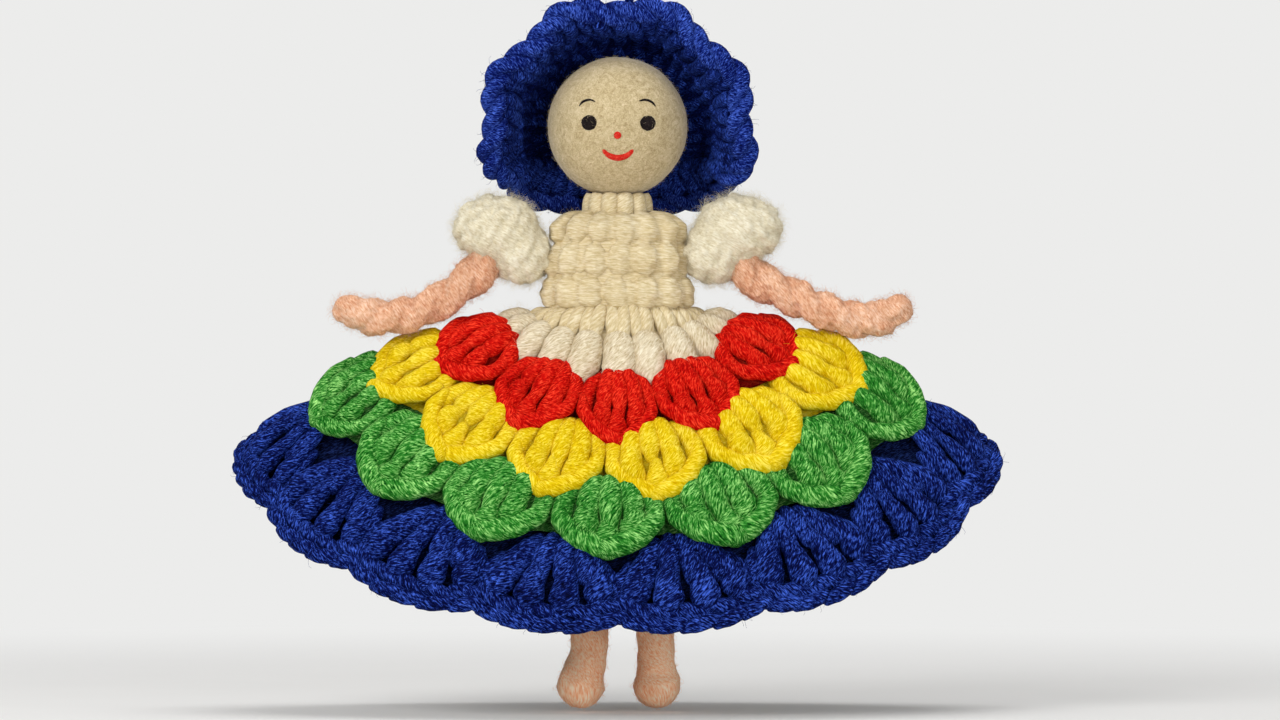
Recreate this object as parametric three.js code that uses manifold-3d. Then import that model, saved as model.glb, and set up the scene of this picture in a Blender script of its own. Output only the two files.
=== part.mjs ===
// A crochet doll that hangs by a loop of yarn.
// Millimetres, +Z up, the doll faces -Y. Heights are counted from the soles, and the finished group
// is lowered until the top of the hanging loop is at the origin.
import * as THREE from "three";
import { mergeVertices } from "three/addons/utils/BufferGeometryUtils.js";
import Module from "manifold-3d";

const wasm = await Module();
wasm.setup();

const clearance = 0.3;
const weldGap = 1e-4;

// Trunk
const waistHeight = 71.2;
const waistHalfWidth = 13.4;
const waistHalfDepth = 8.8;
const bodiceHeight = 17.7;
const shoulderHalfWidth = 11;
const shoulderHalfDepth = 7;
const bodiceWall = 2.6;
const neckHeight = 2.46;
const neckHalfWidth = 6.2;
const neckHalfDepth = 5.4;
const neckWall = 2.7;
const baseHeight = 7.3;
const baseHalfWidth = 10.2;
const baseHalfDepth = 5.4;
const baseWall = 2;
const fillingSlope = 1;

// Head and face
const headRadius = 12.5;
const faceGap = 0.15;
const eyeRadius = 1.3;
const eyeThickness = 0.45;
const eyeSide = 5.2;
const eyeRise = 0.7;
const browWidth = 0.42;
const browThickness = 0.4;
const browReach = 3;
const browSide = 5.3;
const browRise = 4.6;
const browArch = 0.8;
const noseRadius = 0.68;
const noseThickness = 0.35;
const noseDrop = 1.5;
const mouthWidth = 1.05;
const mouthThickness = 0.4;
const mouthReach = 5.3;
const mouthDrop = 4.1;
const mouthSag = 1.45;

// Hood
const hoodHalfWidth = 22.3;
const hoodRise = 20.6;
const hoodForward = 6;
const hoodWall = 3;
const hoodEdgeRadius = 1.8;
const hoodScallops = 9;
const hoodScallopDepth = 0.5;

// Hanging loop
const loopYarn = 1.7;

// Limbs
const sleeveLength = 8.9;
const sleeveHeight = 6.9;
const sleeveDepth = 6.3;
const sleeveDrop = 5;
const sleeveTilt = 35;
const sleeveForward = 1;
const armReach = 30;
const armFall = 14.5;
const armForward = 3;
const armRadius = 3.5;
const legRadius = 3.4;
const hipRadius = 3;
const hipSpread = 5.5;
const footRadius = 4.3;

// Skirt
const skirtHalfWidth = 67.7;
const skirtHalfDepth = 29.5;
const skirtSideFall = 26.8;
const skirtFrontFall = 29.5;
const waistFrontFall = 1;
const skirtWall = 3;
const stitchGap = 0.6;
const foldSoftShare = 0.12;

const colours = {
  felt: 0xded2ae,
  cream: 0xebe3cb,
  peach: 0xeeaf94,
  blue: 0x1c37b8,
  red: 0xdc2116,
  yellow: 0xf2cf10,
  green: 0x2f9e45,
  ink: 0x1c1412,
  lip: 0xcf2a1c,
  fibre: 0xf1eee6,
};

const shoulderHeight = waistHeight + bodiceHeight;
const headHeight = shoulderHeight + neckHeight + headRadius;
const baseBottom = waistHeight - clearance - baseHeight;
const hipHeight = baseBottom - clearance - hipRadius;

// Geometry from rings of points: each ring closes on itself, and the ends are capped, or joined to
// each other when the body is a shell that goes right round.
function skin(rings, endless = false) {
  const around = rings[0].length;
  const points = rings.flat();
  const faces = [];
  const links = endless ? rings.length : rings.length - 1;
  for (let i = 0; i < links; i++) {
    const here = i * around;
    const next = ((i + 1) % rings.length) * around;
    for (let j = 0; j < around; j++) {
      const k = (j + 1) % around;
      faces.push(here + j, here + k, next + k, here + j, next + k, next + j);
    }
  }
  if (!endless) {
    const last = (rings.length - 1) * around;
    const centres = [rings[0], rings[rings.length - 1]].map(middle);
    for (let j = 0; j < around; j++) {
      const k = (j + 1) % around;
      faces.push(points.length, k, j);
      faces.push(points.length + 1, last + j, last + k);
    }
    points.push(...centres);
  }
  const geometry = new THREE.BufferGeometry().setFromPoints(points);
  geometry.setIndex(faces);
  return facingOut(geometry);
}

function middle(ring) {
  const sum = ring.reduce((total, point) => total.add(point), new THREE.Vector3());
  return sum.divideScalar(ring.length);
}

function facingOut(geometry) {
  const place = geometry.getAttribute("position");
  const index = geometry.getIndex();
  const [a, b, c] = [new THREE.Vector3(), new THREE.Vector3(), new THREE.Vector3()];
  let volume = 0;
  for (let i = 0; i < index.count; i += 3) {
    a.fromBufferAttribute(place, index.getX(i));
    b.fromBufferAttribute(place, index.getX(i + 1));
    c.fromBufferAttribute(place, index.getX(i + 2));
    volume += a.dot(b.cross(c));
  }
  if (volume < 0) {
    const turned = [...index.array];
    for (let i = 0; i < turned.length; i += 3) {
      [turned[i + 1], turned[i + 2]] = [turned[i + 2], turned[i + 1]];
    }
    geometry.setIndex(turned);
  }
  return geometry;
}

function solidOf(geometry) {
  const bare = geometry.clone();
  bare.deleteAttribute("normal");
  bare.deleteAttribute("uv");
  const merged = mergeVertices(bare, weldGap);
  return new wasm.Manifold(
    new wasm.Mesh({
      numProp: 3,
      vertProperties: new Float32Array(merged.getAttribute("position").array),
      triVerts: new Uint32Array(merged.getIndex().array),
    }),
  );
}

function cutBy(geometry, tool) {
  const mesh = solidOf(geometry).subtract(solidOf(tool)).getMesh();
  const cut = new THREE.BufferGeometry();
  cut.setAttribute("position", new THREE.BufferAttribute(mesh.vertProperties, 3));
  cut.setIndex(new THREE.BufferAttribute(mesh.triVerts, 1));
  return cut;
}

function piece(name, geometry, colour, roughness = 0.95) {
  geometry.computeVertexNormals();
  const material = new THREE.MeshStandardMaterial({ color: colour, roughness, metalness: 0 });
  const mesh = new THREE.Mesh(geometry, material);
  mesh.name = name;
  return mesh;
}

// A level ring with half width, half depth and height; a squareness over an oval's flattens its sides.
const ovalSquareness = 2;
const trunkSquareness = 2.4;

function levelRing(halfWidth, halfDepth, height, sides, squareness = trunkSquareness) {
  return Array.from({ length: sides }, (_, i) => {
    const turn = (2 * Math.PI * i) / sides;
    const [c, s] = [Math.cos(turn), Math.sin(turn)];
    const x = halfWidth * Math.sign(c) * Math.abs(c) ** (ovalSquareness / squareness);
    const y = halfDepth * Math.sign(s) * Math.abs(s) ** (ovalSquareness / squareness);
    return new THREE.Vector3(x, y, height);
  });
}

// Trunk: height share from waist to shoulder, and how far the width has gone from waist to shoulder.
const trunkSides = 24;
const trunkShares = [
  [0, 0],
  [0.25, 0.15],
  [0.5, 0.45],
  [0.75, 0.7],
  [0.92, 0.82],
  [1, 1],
];

function trunkRing(heightShare, narrowShare, inset) {
  return levelRing(
    THREE.MathUtils.lerp(waistHalfWidth, shoulderHalfWidth, narrowShare) - inset,
    THREE.MathUtils.lerp(waistHalfDepth, shoulderHalfDepth, narrowShare) - inset,
    THREE.MathUtils.lerp(waistHeight + clearance, shoulderHeight, heightShare),
    trunkSides,
  );
}

function bodice() {
  const outer = trunkShares.map(([up, narrow]) => trunkRing(up, narrow, 0));
  const collarHeight = shoulderHeight - bodiceWall;
  const mouth = [shoulderHeight, collarHeight].map((height) =>
    levelRing(neckHalfWidth - neckWall + clearance, neckHalfDepth - neckWall + clearance, height, trunkSides),
  );
  const inner = trunkShares.slice(0, -1).map(([up, narrow]) => trunkRing(up, narrow, bodiceWall));
  inner[inner.length - 1].forEach((point) => point.setZ(collarHeight - clearance));
  return skin([...outer, ...mouth, ...inner.reverse()], true);
}

// The neck's top follows the ball that sits on it.
function neck() {
  const seatRadius = headRadius + clearance;
  const foot = shoulderHeight + clearance;
  const seat = (halfWidth, halfDepth) =>
    levelRing(halfWidth, halfDepth, 0, trunkSides, ovalSquareness).map((point) => {
      const level = headHeight - Math.sqrt(seatRadius ** 2 - point.x ** 2 - point.y ** 2);
      return point.setZ(level);
    });
  const bore = [neckHalfWidth - neckWall, neckHalfDepth - neckWall];
  return skin(
    [
      levelRing(neckHalfWidth, neckHalfDepth, foot, trunkSides, ovalSquareness),
      seat(neckHalfWidth, neckHalfDepth),
      seat(...bore),
      levelRing(...bore, foot, trunkSides, ovalSquareness),
    ],
    true,
  );
}

// The base's bottom is drawn in by a share of its width, and rounded over a share of its wall inside.
const bottomShare = 0.8;
const bottomRoundShare = 1.5;

function bodyBase() {
  const lip = waistHeight - clearance;
  const innerWidth = baseHalfWidth - baseWall;
  const innerDepth = baseHalfDepth - baseWall;
  return skin([
    levelRing(baseHalfWidth * bottomShare, baseHalfDepth * bottomShare, baseBottom, trunkSides),
    levelRing(baseHalfWidth, baseHalfDepth, baseBottom + baseWall, trunkSides),
    levelRing(baseHalfWidth, baseHalfDepth, lip, trunkSides),
    levelRing(innerWidth, innerDepth, lip, trunkSides),
    levelRing(innerWidth, innerDepth, baseBottom + bottomRoundShare * baseWall, trunkSides),
    levelRing(innerWidth * bottomShare, innerDepth * bottomShare, baseBottom + baseWall, trunkSides),
  ]);
}

function bodyStuffing() {
  const sides = 16;
  const inset = bodiceWall + clearance;
  const low = baseBottom + baseWall + clearance;
  const lip = waistHeight + clearance;
  const cupWidth = baseHalfWidth - baseWall - clearance;
  const cupDepth = baseHalfDepth - baseWall - clearance;
  const throatWidth = neckHalfWidth - neckWall - clearance;
  const throatDepth = neckHalfDepth - neckWall - clearance;
  const collar = shoulderHeight - bodiceWall - 2 * clearance;
  const chestShare = 0.7;
  return skin([
    levelRing(cupWidth * bottomShare, cupDepth * bottomShare, low, sides),
    levelRing(cupWidth, cupDepth, low + baseWall, sides),
    levelRing(cupWidth, cupDepth, lip, sides),
    levelRing(waistHalfWidth - inset, waistHalfDepth - inset, lip + clearance, sides),
    levelRing(
      THREE.MathUtils.lerp(waistHalfWidth, shoulderHalfWidth, chestShare) - inset,
      THREE.MathUtils.lerp(waistHalfDepth, shoulderHalfDepth, chestShare) - inset,
      THREE.MathUtils.lerp(waistHeight, shoulderHeight, chestShare),
      sides,
    ),
    levelRing(shoulderHalfWidth - inset, shoulderHalfDepth - inset, collar - fillingSlope, sides),
    levelRing(throatWidth, throatDepth, collar, sides),
    levelRing(throatWidth, throatDepth, headHeight - headRadius - 2 * clearance, sides),
  ]);
}

// Skirt: shares, from the waist to the hem, of the way in width, depth, fall at the sides and fall at
// the front and back. One entry for each seam between two rounds.
const skirtSeamShares = [
  [0, 0, 0, 0],
  [0.14, 0.184, 0.09, 0.323],
  [0.325, 0.372, 0.179, 0.572],
  [0.53, 0.585, 0.328, 0.775],
  [0.75, 0.778, 0.608, 0.888],
  [0.932, 0.93, 0.885, 0.962],
  [1, 1, 1, 1],
];
const lastSeam = skirtSeamShares.length - 1;
const skirtOutline = new THREE.CatmullRomCurve3(
  skirtSeamShares.map(([across, deep, side]) => new THREE.Vector3(across, deep, side)),
);
const skirtDrop = new THREE.CatmullRomCurve3(
  skirtSeamShares.map((shares) => new THREE.Vector3(shares[3], 0, 0)),
);

// The smooth surface that the rounds follow: seam counts the seams from the waist, and turn is 0 at
// the front. The front and back hang lower than the two sides.
function skirtPoint(seam, turn) {
  const along = THREE.MathUtils.clamp(seam / lastSeam, 0, 1);
  const share = skirtOutline.getPoint(along);
  const soft = (cosine) => Math.sqrt(cosine ** 2 + foldSoftShare ** 2) - foldSoftShare;
  const hang = soft(Math.cos(turn)) / soft(1);
  const drop = THREE.MathUtils.lerp(waistFrontFall, skirtFrontFall, skirtDrop.getPoint(along).x);
  return new THREE.Vector3(
    THREE.MathUtils.lerp(waistHalfWidth, skirtHalfWidth, share.x) * Math.sin(turn),
    -THREE.MathUtils.lerp(waistHalfDepth, skirtHalfDepth, share.y) * Math.cos(turn),
    waistHeight - skirtSideFall * share.z - drop * hang,
  );
}

function skirtNormal(seam, turn) {
  const step = 0.01;
  const low = Math.min(Math.max(seam, step), lastSeam - step);
  const down = skirtPoint(low + step, turn).sub(skirtPoint(low - step, turn));
  const round = skirtPoint(low, turn + step).sub(skirtPoint(low, turn - step));
  return down.cross(round).normalize();
}

// A round of stitches. centred puts one at the middle of the front, reach is the share of the next
// round that the tips hang into, puff and lining are how far the stitches swell out and in.
const bobblePuff = 2.8;
const bobbleLining = 0.5;
const shellPuff = 1.6;
const ridgePuff = 0.9;
const ridge = { sides: 4, puff: ridgePuff, lining: 0, plain: true };
const bobble = { sides: 6, puff: bobblePuff, lining: bobbleLining };
const shell = { sides: 5, puff: shellPuff, lining: bobbleLining };
const edging = { sides: 5, puff: ridgePuff, lining: ridgePuff, plain: true };
const rounds = {
  skirt_yoke: { ...ridge, from: 0, count: 18, centred: false, reach: 0.04 },
  skirt_red_row: { ...bobble, from: 1, count: 10, centred: true, reach: 0.16 },
  skirt_yellow_row: { ...bobble, from: 2, count: 12, centred: false, reach: 0.16 },
  skirt_green_row: { ...bobble, from: 3, count: 14, centred: true, reach: 0.14 },
  skirt_blue_row: { ...shell, from: 4, count: 16, centred: false, reach: 0.16 },
  skirt_hem_edge: { ...edging, from: 5, count: 16, centred: false, reach: 0 },
};
const roundList = Object.values(rounds);

// 0 at the middle of a stitch and 1 in the creases beside it.
function offMiddle(round, turn) {
  const at = (turn * round.count) / (2 * Math.PI) + (round.centred ? 0.5 : 0);
  return Math.abs(2 * (at - Math.floor(at)) - 1);
}

// Where the seam under a round runs: lower at the tips of its stitches.
function seamUnder(round, turn) {
  if (!round) {
    return 0;
  }
  const tip = 0.5 + 0.5 * Math.cos(Math.PI * offMiddle(round, turn));
  return round.from + 1 + round.reach * tip;
}

// How early a stitch swells down its length, and how full its swelling is.
const domeEarlyShare = 0.8;
const domeFullShare = 0.7;
const domeShares = [0, 0.16, 0.42, 0.7, 0.9, 1];
const plainShares = [0, 0.5, 1];

function roundOfStitches(round) {
  const above = roundList[round.from - 1];
  const steps = round.count * round.sides;
  const shift = round.centred ? 0.5 : 0;
  const turns = Array.from({ length: steps }, (_, i) => {
    return ((i / round.sides - shift) * 2 * Math.PI) / round.count;
  });
  const outShares = round.plain ? plainShares : domeShares;
  const inShares = [...plainShares].reverse();
  const ringAt = (share, depth, swell) =>
    turns.map((turn) => {
      const length = skirtPoint(round.from, turn).distanceTo(skirtPoint(round.from + 1, turn));
      const top = seamUnder(above, turn) + (above ? stitchGap / length : 0);
      const seam = THREE.MathUtils.lerp(top, Math.min(seamUnder(round, turn), lastSeam), share);
      const swelling = Math.sin(Math.PI * share ** domeEarlyShare) ** domeFullShare;
      const dome = swelling * (1 - offMiddle(round, turn) ** 2);
      const out = skirtNormal(seam, turn).multiplyScalar(swell * dome - depth);
      return skirtPoint(seam, turn).add(out);
    });
  return skin(
    [
      ...outShares.map((share) => ringAt(share, 0, round.puff)),
      ...inShares.map((share) => ringAt(share, skirtWall, -round.lining)),
    ],
    true,
  );
}

// A stuffed limb: level rings would shear where it leans, so each ring is square to its middle line.
function limb(route, radii, sides, steps) {
  const line = new THREE.CatmullRomCurve3(route);
  const sizes = new THREE.CatmullRomCurve3(radii.map((r) => new THREE.Vector3(r, 0, 0)));
  const [first, last] = [radii[0], radii[radii.length - 1]];
  const rings = [];
  const ringAt = (centre, heading, radius) => {
    const side = new THREE.Vector3(0, 1, 0).cross(heading).normalize();
    const other = heading.clone().cross(side);
    rings.push(
      Array.from({ length: sides }, (_, i) => {
        const turn = (2 * Math.PI * i) / sides;
        return centre
          .clone()
          .addScaledVector(side, radius * Math.cos(turn))
          .addScaledVector(other, radius * Math.sin(turn));
      }),
    );
  };
  const roundAngles = [75, 45, 18].map(THREE.MathUtils.degToRad);
  const start = line.getPoint(0);
  const startHeading = line.getTangent(0);
  roundAngles.forEach((angle) => {
    const back = start.clone().addScaledVector(startHeading, -first * Math.sin(angle));
    ringAt(back, startHeading, first * Math.cos(angle));
  });
  for (let i = 0; i <= steps; i++) {
    ringAt(line.getPoint(i / steps), line.getTangent(i / steps), sizes.getPoint(i / steps).x);
  }
  const end = line.getPoint(1);
  const endHeading = line.getTangent(1);
  [...roundAngles].reverse().forEach((angle) => {
    const ahead = end.clone().addScaledVector(endHeading, last * Math.sin(angle));
    ringAt(ahead, endHeading, last * Math.cos(angle));
  });
  return skin(rings);
}

const sleeveSeatShare = 0.92;
const sleeveSpreadShare = 0.93;
const sleeveSide = waistHalfWidth * sleeveSeatShare + clearance + sleeveLength * sleeveSpreadShare;
const sleeveHeightAt = shoulderHeight - sleeveDrop;

function sleeve(side, grown) {
  const puff = new THREE.SphereGeometry(1, 20, 12);
  puff.scale(sleeveLength + grown, sleeveDepth + grown, sleeveHeight + grown);
  puff.rotateY(-side * THREE.MathUtils.degToRad(sleeveTilt));
  puff.translate(side * sleeveSide, -sleeveForward, sleeveHeightAt);
  return puff;
}

// Each arm's middle line: shares of its reach, its fall and its way forward from the sleeve's middle.
const leftArmShares = [
  [0.03, 0.1, 0],
  [0.138, 0.42, 0.3],
  [0.437, 0.862, 0.8],
  [0.717, 0.976, 1],
  [0.907, 0.876, 1],
];
const rightArmShares = [
  [0.03, 0.1, 0],
  [0.083, 0.386, 0.2],
  [0.287, 0.631, 0.5],
  [0.467, 0.828, 0.8],
  [0.657, 0.976, 1],
  [0.82, 1.01, 1],
  [0.977, 0.9, 1],
];
const armRadiusShares = [0.94, 0.97, 1, 1, 0.9];

function arm(side, shares) {
  const route = shares.map(
    ([out, down, forward]) =>
      new THREE.Vector3(
        side * (sleeveSide + armReach * out),
        -sleeveForward - armForward * forward,
        sleeveHeightAt - armFall * down,
      ),
  );
  const radii = armRadiusShares.map((share) => armRadius * share);
  return cutBy(limb(route, radii, 12, 12), sleeve(side, clearance));
}

// Each leg's middle line: how far it has gone from the hip down to the foot, and its place across as
// a share of the hips' spread.
const leftLegShares = [
  [0, 1],
  [0.37, 0.9],
  [0.74, 0.85],
  [0.9, 0.95],
  [1, 1.2],
];
const rightLegShares = [
  [0, 1],
  [0.37, 1.16],
  [0.74, 1.22],
  [0.9, 1.25],
  [1, 1.28],
];

function leg(side, shares) {
  const route = shares.map(
    ([down, across]) =>
      new THREE.Vector3(
        side * hipSpread * across,
        0,
        THREE.MathUtils.lerp(hipHeight, footRadius, down),
      ),
  );
  const radii = [hipRadius, legRadius, legRadius, legRadius, footRadius];
  return limb(route, radii, 12, 11);
}

// Hood: the middle line of its edge and the seam between crown and brim, down one side from the top.
// Shares of the hood's half width, its rise and its forward reach. The lower part runs behind the neck.
const hoodEdgeShares = [
  [0, 1, -0.9],
  [0.43, 0.93, -0.95],
  [0.78, 0.69, -1],
  [0.97, 0.29, -1],
  [1, -0.12, -0.85],
  [0.95, -0.4, -0.1],
  [0.76, -0.48, 1.3],
  [0.4, -0.63, 1.6],
];
const hoodEdgeBottomShares = [0, -0.645, 1.75];
const hoodSeamShares = [
  [0, 0.9, 0.17],
  [0.385, 0.83, 0.17],
  [0.68, 0.61, 0.17],
  [0.84, 0.25, 0.2],
  [0.865, -0.1, 0.35],
  [0.82, -0.3, 0.85],
  [0.62, -0.36, 1.6],
  [0.35, -0.455, 1.9],
];
const hoodSeamBottomShares = [0, -0.465, 2.05];
const hoodSteps = 48;
const hoodEdgeSteps = 72;

function hoodLine(shares, bottomShares) {
  const place = (side) => ([across, up, back]) =>
    new THREE.Vector3(side * hoodHalfWidth * across, hoodForward * back, hoodRise * up);
  const right = shares.map(place(1));
  const left = shares.slice(1).map(place(-1)).reverse();
  return new THREE.CatmullRomCurve3([...right, place(1)(bottomShares), ...left], true);
}

const hoodEdgeLine = hoodLine(hoodEdgeShares, hoodEdgeBottomShares);
const hoodSeamLine = hoodLine(hoodSeamShares, hoodSeamBottomShares);
const hoodCentre = new THREE.Vector3(0, 0, headHeight);
const hoodPole = new THREE.Vector3(0, headRadius + clearance + hoodWall, 0);

// The edge swings out and in, in scallops.
function hoodEdgeAt(along) {
  const point = hoodEdgeLine.getPoint(along);
  const out = new THREE.Vector3(point.x, 0, point.z).normalize();
  const swing = hoodScallopDepth * Math.cos(2 * Math.PI * hoodScallops * along);
  return point.addScaledVector(out, swing);
}

function hoodRing(pointAt) {
  return Array.from({ length: hoodSteps }, (_, i) => pointAt(i / hoodSteps).add(hoodCentre));
}

// Towards the ball's middle axis, from a point of the hood.
function inwards(point) {
  return new THREE.Vector3(-point.x, 0, -point.z).normalize();
}

const crownShares = [0.9, 0.72, 0.52, 0.34, 0.16, 0];
const brimShares = [0, 0.5, 1];

function bonnetCrown() {
  const bowl = (share, inset) => (along) => {
    const seam = hoodSeamLine.getPoint(along);
    const rise = Math.sin((Math.PI / 2) * share);
    const spread = Math.cos((Math.PI / 2) * share);
    const reach = hoodPole.y - inset - seam.y;
    const shrink = 1 - inset / Math.hypot(seam.x, seam.z);
    return new THREE.Vector3(seam.x * spread * shrink, seam.y + reach * rise, seam.z * spread * shrink);
  };
  return skin([
    ...crownShares.map((share) => hoodRing(bowl(share, 0))),
    ...[...crownShares].reverse().map((share) => hoodRing(bowl(share, hoodWall))),
  ]);
}

function bonnetBrim() {
  const at = (share, inset) => (along) => {
    const seam = hoodSeamLine.getPoint(along);
    const edge = hoodEdgeAt(along);
    const way = edge.clone().sub(seam);
    const heading = hoodEdgeLine.getTangent(along);
    const squareWay = way.clone().addScaledVector(heading, -way.dot(heading));
    const from = clearance / way.length();
    const to = 1 - (hoodEdgeRadius + clearance) / squareWay.length();
    const point = seam.addScaledVector(way, THREE.MathUtils.lerp(from, to, share));
    return point.addScaledVector(inwards(point), inset);
  };
  return skin(
    [
      ...brimShares.map((share) => hoodRing(at(share, 0))),
      ...[...brimShares].reverse().map((share) => hoodRing(at(share, hoodWall))),
    ],
    true,
  );
}

function bonnetEdge() {
  const sides = 8;
  const rings = Array.from({ length: hoodEdgeSteps }, (_, i) => {
    const along = i / hoodEdgeSteps;
    const centre = hoodEdgeAt(along);
    const heading = hoodEdgeLine.getTangent(along);
    const out = inwards(centre).negate();
    const square = out.clone().addScaledVector(heading, -out.dot(heading)).normalize();
    const other = heading.clone().cross(square);
    return Array.from({ length: sides }, (_, j) => {
      const turn = (2 * Math.PI * j) / sides;
      return centre
        .clone()
        .addScaledVector(square, hoodEdgeRadius * Math.cos(turn))
        .addScaledVector(other, hoodEdgeRadius * Math.sin(turn))
        .add(hoodCentre);
    });
  });
  return skin(rings, true);
}

// Route of the hanging loop, millimetres, from the top of the loop.
const loopRoute = [
  [-3.6, 3.2, -31],
  [-3.8, 3, -28.2],
  [-4.1, 2.7, -24.7],
  [-4.5, 2.3, -21.2],
  [-4.8, 1.9, -17.2],
  [-4.9, 1.4, -13.2],
  [-4.7, 0.9, -9.2],
  [-4.2, 0.5, -5.6],
  [-3.2, 0.2, -2.6],
  [-1.7, 0.1, -0.7],
  [0, 0, 0],
  [1.7, 0.1, -0.7],
  [3.2, 0.2, -2.6],
  [4.2, 0.5, -5.6],
  [4.5, 0.9, -9.2],
  [4.4, 1.4, -13.2],
  [3.9, 1.9, -17.2],
  [3.2, 2.3, -21.2],
  [2.5, 2.7, -24.7],
  [1.9, 3, -28.2],
  [1.6, 3.2, -31],
];
const loopDrop = loopRoute[0][2];
const loopTop = headHeight + hoodRise * hoodSeamShares[0][1] + clearance - loopDrop;

function hangingLoop() {
  const points = loopRoute.map(([x, y, z]) => new THREE.Vector3(x, y, loopTop + z));
  const route = new THREE.CatmullRomCurve3(points);
  const section = new THREE.Shape().absarc(0, 0, loopYarn / 2, 0, 2 * Math.PI);
  return new THREE.ExtrudeGeometry(section, {
    extrudePath: route,
    steps: 30,
    curveSegments: 4,
    bevelEnabled: false,
  });
}

// Face: a point of the ball from its place across and its rise above the ball's middle.
function onFace(across, rise, height) {
  const depth = Math.sqrt(headRadius ** 2 - across ** 2 - rise ** 2);
  return new THREE.Vector3(across, -depth, rise).normalize().multiplyScalar(headRadius + height);
}

// A dot's floor is flat, and its top slopes to the rim from a share of its radius.
const dotFloorShare = 0.6;
const dotTopShare = 0.7;

function dot(across, rise, radius, thickness) {
  const low = headRadius + faceGap;
  const edge = radius / headRadius;
  const profile = [
    [0, low],
    [dotFloorShare, low],
    [1, low],
    [1, low + thickness / 2],
    [dotTopShare, low + thickness],
    [0, low + thickness],
  ].map(([share, far]) => {
    return new THREE.Vector2(far * Math.sin(edge * share), far * Math.cos(edge * share));
  });
  const lens = new THREE.LatheGeometry(profile, 14);
  const heading = onFace(across, rise, 0).normalize();
  const turn = new THREE.Quaternion().setFromUnitVectors(new THREE.Vector3(0, 1, 0), heading);
  lens.applyQuaternion(turn);
  return facingOut(closedFrom(lens)).translate(0, 0, headHeight);
}

function closedFrom(geometry) {
  geometry.deleteAttribute("normal");
  geometry.deleteAttribute("uv");
  const merged = mergeVertices(geometry, weldGap);
  const index = merged.getIndex().array;
  const kept = [];
  for (let i = 0; i < index.length; i += 3) {
    const [a, b, c] = index.slice(i, i + 3);
    if (a !== b && b !== c && c !== a) {
      kept.push(a, b, c);
    }
  }
  merged.setIndex(kept);
  return merged;
}

// A stroke on the ball along places given as (across, rise), thinning at its two ends.
function stroke(places, width, thickness) {
  const middleHeight = faceGap + thickness / 2;
  const line = new THREE.CatmullRomCurve3(places.map(([x, z]) => onFace(x, z, middleHeight)));
  const steps = 10;
  const sides = 6;
  const endShare = 0.35;
  const rings = Array.from({ length: steps + 1 }, (_, i) => {
    const along = i / steps;
    const centre = line.getPoint(along);
    const up = centre.clone().normalize();
    const across = up.clone().cross(line.getTangent(along)).normalize();
    const full = THREE.MathUtils.lerp(endShare, 1, Math.sqrt(Math.sin(Math.PI * along)));
    return Array.from({ length: sides }, (_, j) => {
      const turn = (2 * Math.PI * j) / sides;
      return centre
        .clone()
        .addScaledVector(across, (full * width * Math.cos(turn)) / 2)
        .addScaledVector(up, (thickness * Math.sin(turn)) / 2);
    });
  });
  return skin(rings).translate(0, 0, headHeight);
}

// Places of the two strokes: shares of half the reach across, and of the arch or the sag.
const browShares = [
  [1, -1],
  [0.4, 0],
  [-0.3, 0.3],
  [-1, -0.1],
];
const mouthShares = [
  [-1, 0],
  [-0.5, 0.75],
  [0, 1],
  [0.5, 0.75],
  [1, 0],
];

function brow(side) {
  const places = browShares.map(([across, up]) => {
    return [side * (browSide + (browReach / 2) * across), browRise + browArch * up];
  });
  return stroke(places, browWidth, browThickness);
}

function mouth() {
  const places = mouthShares.map(([across, down]) => {
    return [(mouthReach / 2) * across, -mouthDrop - mouthSag * down];
  });
  return stroke(places, mouthWidth, mouthThickness);
}

const roundColours = {
  skirt_yoke: colours.cream,
  skirt_red_row: colours.red,
  skirt_yellow_row: colours.yellow,
  skirt_green_row: colours.green,
  skirt_blue_row: colours.blue,
  skirt_hem_edge: colours.blue,
};

const head = new THREE.Group();
head.add(
  piece("hanging_loop", hangingLoop(), colours.blue),
  piece("bonnet_crown", bonnetCrown(), colours.blue),
  piece("bonnet_brim", bonnetBrim(), colours.blue),
  piece("bonnet_edge", bonnetEdge(), colours.blue),
  piece("head_ball", new THREE.SphereGeometry(headRadius, 24, 16).translate(0, 0, headHeight), colours.felt),
  piece("eye_left", dot(-eyeSide, eyeRise, eyeRadius, eyeThickness), colours.ink),
  piece("eye_right", dot(eyeSide, eyeRise, eyeRadius, eyeThickness), colours.ink),
  piece("brow_left", brow(-1), colours.ink),
  piece("brow_right", brow(1), colours.ink),
  piece("nose", dot(0, -noseDrop, noseRadius, noseThickness), colours.lip),
  piece("mouth", mouth(), colours.lip),
);

const torso = new THREE.Group();
torso.add(
  piece("neck", neck(), colours.cream),
  piece("bodice", bodice(), colours.cream),
  piece("body_base", bodyBase(), colours.cream),
  piece("body_stuffing", bodyStuffing(), colours.fibre),
);
Object.entries(rounds).forEach(([name, round]) => {
  torso.add(piece(name, roundOfStitches(round), roundColours[name]));
});

const limbs = new THREE.Group();
limbs.add(
  piece("sleeve_left", sleeve(-1, 0), colours.cream),
  piece("sleeve_right", sleeve(1, 0), colours.cream),
  piece("arm_left", arm(-1, leftArmShares), colours.peach),
  piece("arm_right", arm(1, rightArmShares), colours.peach),
  piece("leg_left", leg(-1, leftLegShares), colours.peach),
  piece("leg_right", leg(1, rightLegShares), colours.peach),
);

const doll = new THREE.Group();
doll.add(head, torso, limbs);
doll.position.z = -loopTop;

export default doll;
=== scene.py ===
import functools
import random
from math import acos, atan2, copysign, cos, hypot, pi, radians, sin, sqrt

import bpy
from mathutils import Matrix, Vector
from mathutils.noise import noise


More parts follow.
